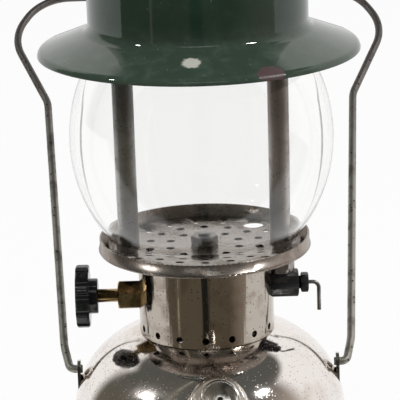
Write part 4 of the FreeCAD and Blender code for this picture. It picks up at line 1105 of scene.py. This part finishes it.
@dataclass
class Ventilator(SubAssembly):
    """Enamelled hood with a ring of slots under its shoulder."""

    brim: float = 74.5
    height: float = 230.98
    edge: float = 3.2
    slope: float = 21.0
    radius: float = 50.8
    metal: float = 1.2
    fillet: float = 5.0
    top: float = 285.98
    shoulder: float = 7.0
    boss: float = 30.0
    slant: float = 8.0
    rise: float = 8.0
    hole: float = 2.7
    slots: int = 16
    slot_width: float = 9.0
    slot_high: float = 275.98
    slot_low: float = 270.48
    slot_steps: int = 6
    web_steps: int = 8

    def skirt(self, inset: float) -> tuple[tuple[float, float], tuple[float, float], float]:
        """Works out where the slope of the hood's skirt starts and ends.

        Args:
            inset: How far in from the outer face, in millimetres.

        Returns:
            The (radius, height) where the brim's edge and the fillet meet the slope, and the
            fillet's level.
        """
        tilt = math.radians(self.slope)
        start = self.brim - self.edge
        edge = (start + (self.edge - inset) * math.sin(tilt),
                self.height + (self.edge - inset) * math.cos(tilt))
        corner = self.radius + self.fillet
        run = start + self.edge * math.sin(tilt) - (corner - self.fillet * math.sin(tilt))
        level = (self.height + self.edge * math.cos(tilt) + run * math.tan(tilt)
                 + self.fillet * math.cos(tilt))
        foot = (corner - (self.fillet + inset) * math.sin(tilt),
                level - (self.fillet + inset) * math.cos(tilt))
        return edge, foot, level

    def profile(self) -> tuple[np.ndarray, list[int]]:
        """Works out the hood's outline.

        Returns:
            The closed profile, and the indices of the slot's four corners in it.
        """
        metal, inner, turn = self.metal, self.radius - self.metal, self.shoulder
        outer_edge, outer_foot, level = self.skirt(0.0)
        inner_edge, inner_foot, _ = self.skirt(metal)
        crown = self.top + self.rise
        profile = closed_profile([
            (self.brim, self.height),
            (*outer_edge, self.edge),
            outer_foot,
            (self.radius, level, -self.fillet),
            (self.radius, self.slot_low),
            (self.radius, self.slot_high),
            (self.radius, self.top - turn),
            (self.radius - turn, self.top, turn),
            (self.boss, self.top),
            (self.boss - self.slant, crown),
            (self.hole, crown),
            (self.hole, crown - metal),
            (self.boss - self.slant, crown - metal),
            (self.boss, self.top - metal),
            (self.radius - turn, self.top - metal),
            (inner, self.top - turn, -(turn - metal)),
            (inner, self.slot_high),
            (inner, self.slot_low),
            (inner, level),
            (*inner_foot, self.fillet + metal),
            inner_edge,
            (self.brim - metal, self.height, -(self.edge - metal)),
        ], step=3.0)
        corners = [int(np.argmin(np.hypot(*(profile - spot).T))) for spot in (
            (self.radius, self.slot_low), (self.radius, self.slot_high),
            (inner, self.slot_high), (inner, self.slot_low))]
        return profile, corners

    def skin(self) -> bpy.types.Object:
        """Makes the hood: its profile turned about Z, with the slots left open and walled.

        Returns:
            The hood.
        """
        profile, (low_out, high_out, high_in, low_in) = self.profile()
        half = math.asin(self.slot_width / 2.0 / self.radius)
        cell = FULL_TURN / self.slots
        inside = np.linspace(-half, half, self.slot_steps + 1)[:-1]
        outside = np.linspace(half, cell - half, self.web_steps + 1)[:-1]
        one = np.concatenate([inside, outside])
        angles = (np.arange(self.slots)[:, None] * cell + one[None]).ravel()
        verts = turned_grid(profile, angles)
        rows, columns = verts.shape[:2]
        quads = loop_faces(rows, columns)
        open_rows = np.flatnonzero(np.arange(rows) % len(one) < len(inside))
        keep = np.ones((rows, columns), bool)
        keep[np.ix_(open_rows, [low_out, high_in])] = False
        faces = quads[keep].tolist()
        near, ahead = open_rows * columns, (open_rows + 1) % rows * columns
        for first, second in ((low_out, low_in), (high_in, high_out)):
            wall = np.stack([near + first, near + second, ahead + second, ahead + first], axis=-1)
            faces += wall[:, ::-1].tolist()
        starts = open_rows[open_rows % len(one) == 0] * columns
        ends = (open_rows[open_rows % len(one) == len(inside) - 1] + 1) % rows * columns
        ring = np.array([low_out, high_out, high_in, low_in])
        faces += (starts[:, None] + ring).tolist() + (ends[:, None] + ring[::-1]).tolist()
        return mesh_object("ventilator_skin", verts, faces, Crease.PLAIN)

    def pieces(self) -> Iterator[tuple[bpy.types.Object, str]]:
        """Makes the hood."""
        yield self.skin(), "ventilator"


@dataclass
class Bail(SubAssembly):
    """Wire bail that leans back from its two ears.

    A corner of its right side is how far across and up it lies, and the radius of its bend.
    """

    wire: float = 1.95
    lean: float = 54.0
    pivot: float = 76.0
    stub: float = 60.4
    corners: tuple[tuple[float, float, float], ...] = (
        (66.4, 0.0, 3.3), (69.4, 13.0, 30.0), (80.3, 168.0, 18.0), (100.3, 214.6, 27.0),
        (85.0, 242.5, 26.0))
    sides: int = 20
    run_points: int = 24
    stub_points: int = 4
    bend_step: float = 5.0

    def flat_path(self) -> np.ndarray:
        """Works out the centre-line in the bail's own plane: straight runs and tangent arcs.

        Returns:
            Points of (across, up) in millimetres, one a row.
        """
        right = np.array(self.corners)
        left = right[::-1] * (-1.0, 1.0, 1.0)
        bends = np.concatenate([right, left])
        points = np.concatenate([[(self.stub, 0.0)], bends[:, :2], [(-self.stub, 0.0)]])
        path = [points[:1]]
        for i in range(1, len(points) - 1):
            back = points[i - 1] - points[i]
            ahead = points[i + 1] - points[i]
            back, ahead = back / np.hypot(*back), ahead / np.hypot(*ahead)
            half = math.acos(float(back @ ahead)) / 2.0
            reach = bends[i - 1, 2] / math.tan(half)
            left_turn = back[0] * ahead[1] - back[1] * ahead[0] < 0.0
            start, end = points[i] + back * reach, points[i] + ahead * reach
            run = np.linspace(path[-1][-1], start, self.run_points)[1:]
            bend = bends[i - 1, 2] * (1 if left_turn else -1)
            path += [run, arc_points(start, end, bend, self.bend_step)]
        path.append(np.linspace(path[-1][-1], points[-1], self.stub_points)[1:])
        return np.concatenate(path)

    def bow(self) -> bpy.types.Object:
        """Sweeps the wire along its path, leant back about the ears.

        Returns:
            The bail.
        """
        flat = self.flat_path()
        lean = math.radians(self.lean)
        rise = flat[:, 1]
        path = np.stack([flat[:, 0], rise * math.sin(lean), self.pivot + rise * math.cos(lean)],
                        axis=1) * MM
        normal = np.array([0.0, -math.cos(lean), math.sin(lean)])
        radius = np.full(len(path), self.wire * MM)
        verts, faces = swept_tube(path, normal, radius, self.sides)
        return mesh_object("bail_wire", verts, faces, Crease.SOFT)

    def pieces(self) -> Iterator[tuple[bpy.types.Object, str]]:
        """Makes the bail."""
        yield self.bow(), "bail"


# ---- studio ----------------------------------------------------------------------------------

@dataclass(frozen=True)
class Softbox:
    """One area lamp: where it stands, its two sides in metres and its power in watts."""

    name: str
    place: tuple[float, float, float]
    size: tuple[float, float]
    power: float


@dataclass(frozen=True)
class Band:
    """Upright band in the room: its angle and half width in radians, and its colour."""

    angle: float
    half: float
    colour: Colour
    core: float = 0.6


@dataclass(frozen=True)
class Room:
    """What metal and glass show of the world: a white cloth behind and a dim room in front.

    A pair of numbers is where a change starts and ends. It is an angle in radians, except the
    wall's, which is a share of the way to the right.
    """

    cloth: Colour = (1.0, 0.99, 0.975)
    cloth_left: tuple[float, float] = (-1.15, -0.92)
    cloth_right: tuple[float, float] = (1.75, 1.35)
    cloth_top: tuple[float, float] = (0.86, 0.76)
    low: Colour = (0.15, 0.13, 0.096)
    high: Colour = (0.10, 0.10, 0.09)
    rise: tuple[float, float] = (-0.3, 0.9)
    wall: Colour = (0.42, 0.36, 0.31)
    wall_right: tuple[float, float] = (0.55, 1.0)
    bands: tuple[Band, ...] = (Band(-3.115, 0.14, (0.02, 0.02, 0.018)),
                               Band(-2.29, 0.03, (0.5, 0.48, 0.38)))


@dataclass
class Studio:
    """Pale table, white backdrop, the room that polished pieces mirror, lamps and the camera.

    Lengths are in metres, the lens's and the sensor's in millimetres. The camera's angles are
    in degrees and the sky's in radians.
    """

    target: tuple[float, float, float] = (0.0, 0.0, 0.142)
    distance: float = 1.05
    elevation: float = 17.15
    aim_up: float = 0.8684
    aim_left: float = 0.0868
    roll: float = 1.75
    lens: float = 200.2
    sensor: float = 36.0
    table_front: float = 0.14
    table_side: float = 3.0
    table_back: float = 7.0
    table_glow: float = 0.88
    sky_low: Colour = (0.5, 0.5, 0.5)
    sky_rise: tuple[float, float] = (0.2, 1.3)
    room: Room = Room()
    lamps: tuple[Softbox, ...] = (
        Softbox("front_strip_low", (0.0, -1.15, 1.25), (1.0, 0.05), 0.5),
        Softbox("front_strip_high", (0.0, -1.0, 1.35), (1.0, 0.05), 0.5),
        Softbox("left_lamp", (-1.15, -0.4, 1.12), (0.12, 0.12), 4.0),
        Softbox("right_lamp", (0.9, -0.45, 1.12), (0.24, 0.1), 6.0),
    )

    def camera(self) -> None:
        """Stands the camera in front, aimed a little above and left of the globe rest."""
        tilt = math.radians(self.elevation)
        ahead = Vector((0.0, math.cos(tilt), -math.sin(tilt)))
        right = Vector((1.0, 0.0, 0.0))
        place = Vector(self.target) - ahead * self.distance
        ahead = Matrix.Rotation(math.radians(self.aim_up), 3, right) @ ahead
        up = right.cross(ahead)
        turn = Matrix.Rotation(math.radians(self.aim_left), 3, up)
        ahead, right = turn @ ahead, turn @ right
        roll = Matrix.Rotation(math.radians(self.roll), 3, ahead)
        right, up = roll @ right, roll @ up
        data = bpy.data.cameras.new("camera")
        data.lens = self.lens
        data.sensor_width = self.sensor
        camera = bpy.data.objects.new("camera", data)
        camera.matrix_world = Matrix((right, up, -ahead)).transposed().to_4x4()
        camera.location = place
        bpy.context.scene.collection.objects.link(camera)
        bpy.context.scene.camera = camera

    def table(self) -> None:
        """Lays the pale table, which ends a little way in front of the lantern."""
        wide, deep, near = self.table_side, self.table_back, -self.table_front
        verts = np.array([(-wide, near, 0.0), (wide, near, 0.0), (wide, deep, 0.0),
                          (-wide, deep, 0.0)])
        table = mesh_object("table", verts, [[0, 1, 2, 3]], Crease.PLAIN)
        material, board = start_material("white_table")
        rays = board.add("ShaderNodeLightPath")
        seen = board.math("MAXIMUM", rays.outputs["Is Camera Ray"],
                          rays.outputs["Is Transmission Ray"])
        seen = board.math("MAXIMUM", seen, rays.outputs["Is Glossy Ray"])
        matt = board.add("ShaderNodeBsdfPrincipled", {
            "Base Color": (0.86, 0.86, 0.86, 1.0), "Roughness": 0.9})
        white = board.add("ShaderNodeEmission", {"Color": (1.0, 1.0, 1.0, 1.0), "Strength": 1.0})
        both = board.add("ShaderNodeMixShader", {
            0: board.times(seen, self.table_glow), 1: matt.outputs[0], 2: white.outputs[0]})
        board.add("ShaderNodeOutputMaterial", {"Surface": both.outputs[0]})
        table.data.materials.append(material)

    def surroundings(self) -> None:
        """Sets the world: white in view, a room for what mirrors, a plain sky for soft light."""
        room = self.room
        world = bpy.data.worlds.new("studio")
        bpy.context.scene.world = world
        world.use_nodes = True
        board = Board(world.node_tree)
        way = board.add("ShaderNodeTexCoord").outputs["Generated"]
        x, y, z = board.add("ShaderNodeSeparateXYZ", {0: way}).outputs[:3]
        around = board.math("ARCTAN2", x, y)
        up = board.math("ARCSINE", z)
        left = board.ramp(around, *room.cloth_left)
        right = board.ramp(around, *room.cloth_right)
        under = board.ramp(up, *room.cloth_top)
        cloth = board.times(board.times(left, right), under)
        mirrored = board.mix(board.ramp(up, *room.rise), room.low, room.high)
        mirrored = board.mix(board.ramp(x, *room.wall_right), mirrored, room.wall)
        for band in room.bands:
            mirrored = board.mix(self.band_share(board, around, band), mirrored, band.colour)
        mirrored = board.mix(cloth, mirrored, room.cloth)
        rays = board.add("ShaderNodeLightPath")
        clear = board.math("MAXIMUM", rays.outputs["Is Camera Ray"],
                           rays.outputs["Is Transmission Ray"])
        soft = board.mix(board.ramp(up, *self.sky_rise), self.sky_low, WHITE)
        colour = board.mix(clear, soft, WHITE)
        colour = board.mix(rays.outputs["Is Glossy Ray"], colour, mirrored)
        sky = board.add("ShaderNodeBackground", {"Color": colour, "Strength": 1.0})
        board.add("ShaderNodeOutputWorld", {"Surface": sky.outputs[0]})

    def band_share(self, board: Board, around: object, band: Band) -> bpy.types.NodeSocket:
        """Works out how much of an upright band shows in a direction.

        Args:
            board: The world's board.
            around: The direction's angle about the upright, in radians.
            band: The band.

        Returns:
            The socket with the share, from 0 to 1.
        """
        turn = board.math("SUBTRACT", around, band.angle)
        turn = board.add("ShaderNodeMath", {0: turn, 1: math.pi, 2: -math.pi}, operation="WRAP")
        off = board.math("ABSOLUTE", turn.outputs[0])
        return board.ramp(off, band.half, band.half * band.core)

    def light(self) -> None:
        """Hangs the lamps, each facing the lantern."""
        for lamp in self.lamps:
            data = bpy.data.lights.new(lamp.name, "AREA")
            data.shape = "ELLIPSE"
            data.size, data.size_y = lamp.size
            data.energy = lamp.power
            light = bpy.data.objects.new(lamp.name, data)
            light.location = lamp.place
            aim = Vector(self.target) - Vector(lamp.place)
            light.rotation_euler = aim.to_track_quat("-Z", "Y").to_euler()
            bpy.context.scene.collection.objects.link(light)

    def build(self) -> None:
        """Sets the whole studio up."""
        bpy.context.scene.view_settings.view_transform = "Standard"
        self.camera()
        self.table()
        self.surroundings()
        self.light()


def main() -> None:
    """Builds the studio and the lantern's sub-assemblies in order."""
    logging.basicConfig(level=logging.INFO, format="%(message)s")
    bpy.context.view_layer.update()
    Studio().build()
    dresser = Dresser()
    for part in (Fount(), Pump(), Valve(), Chimney(), Globe(), Ventilator(), Bail()):
        part.build(dresser)
        LOG.info("finished %s", type(part).__name__)


if __name__ == "__main__":
    main()
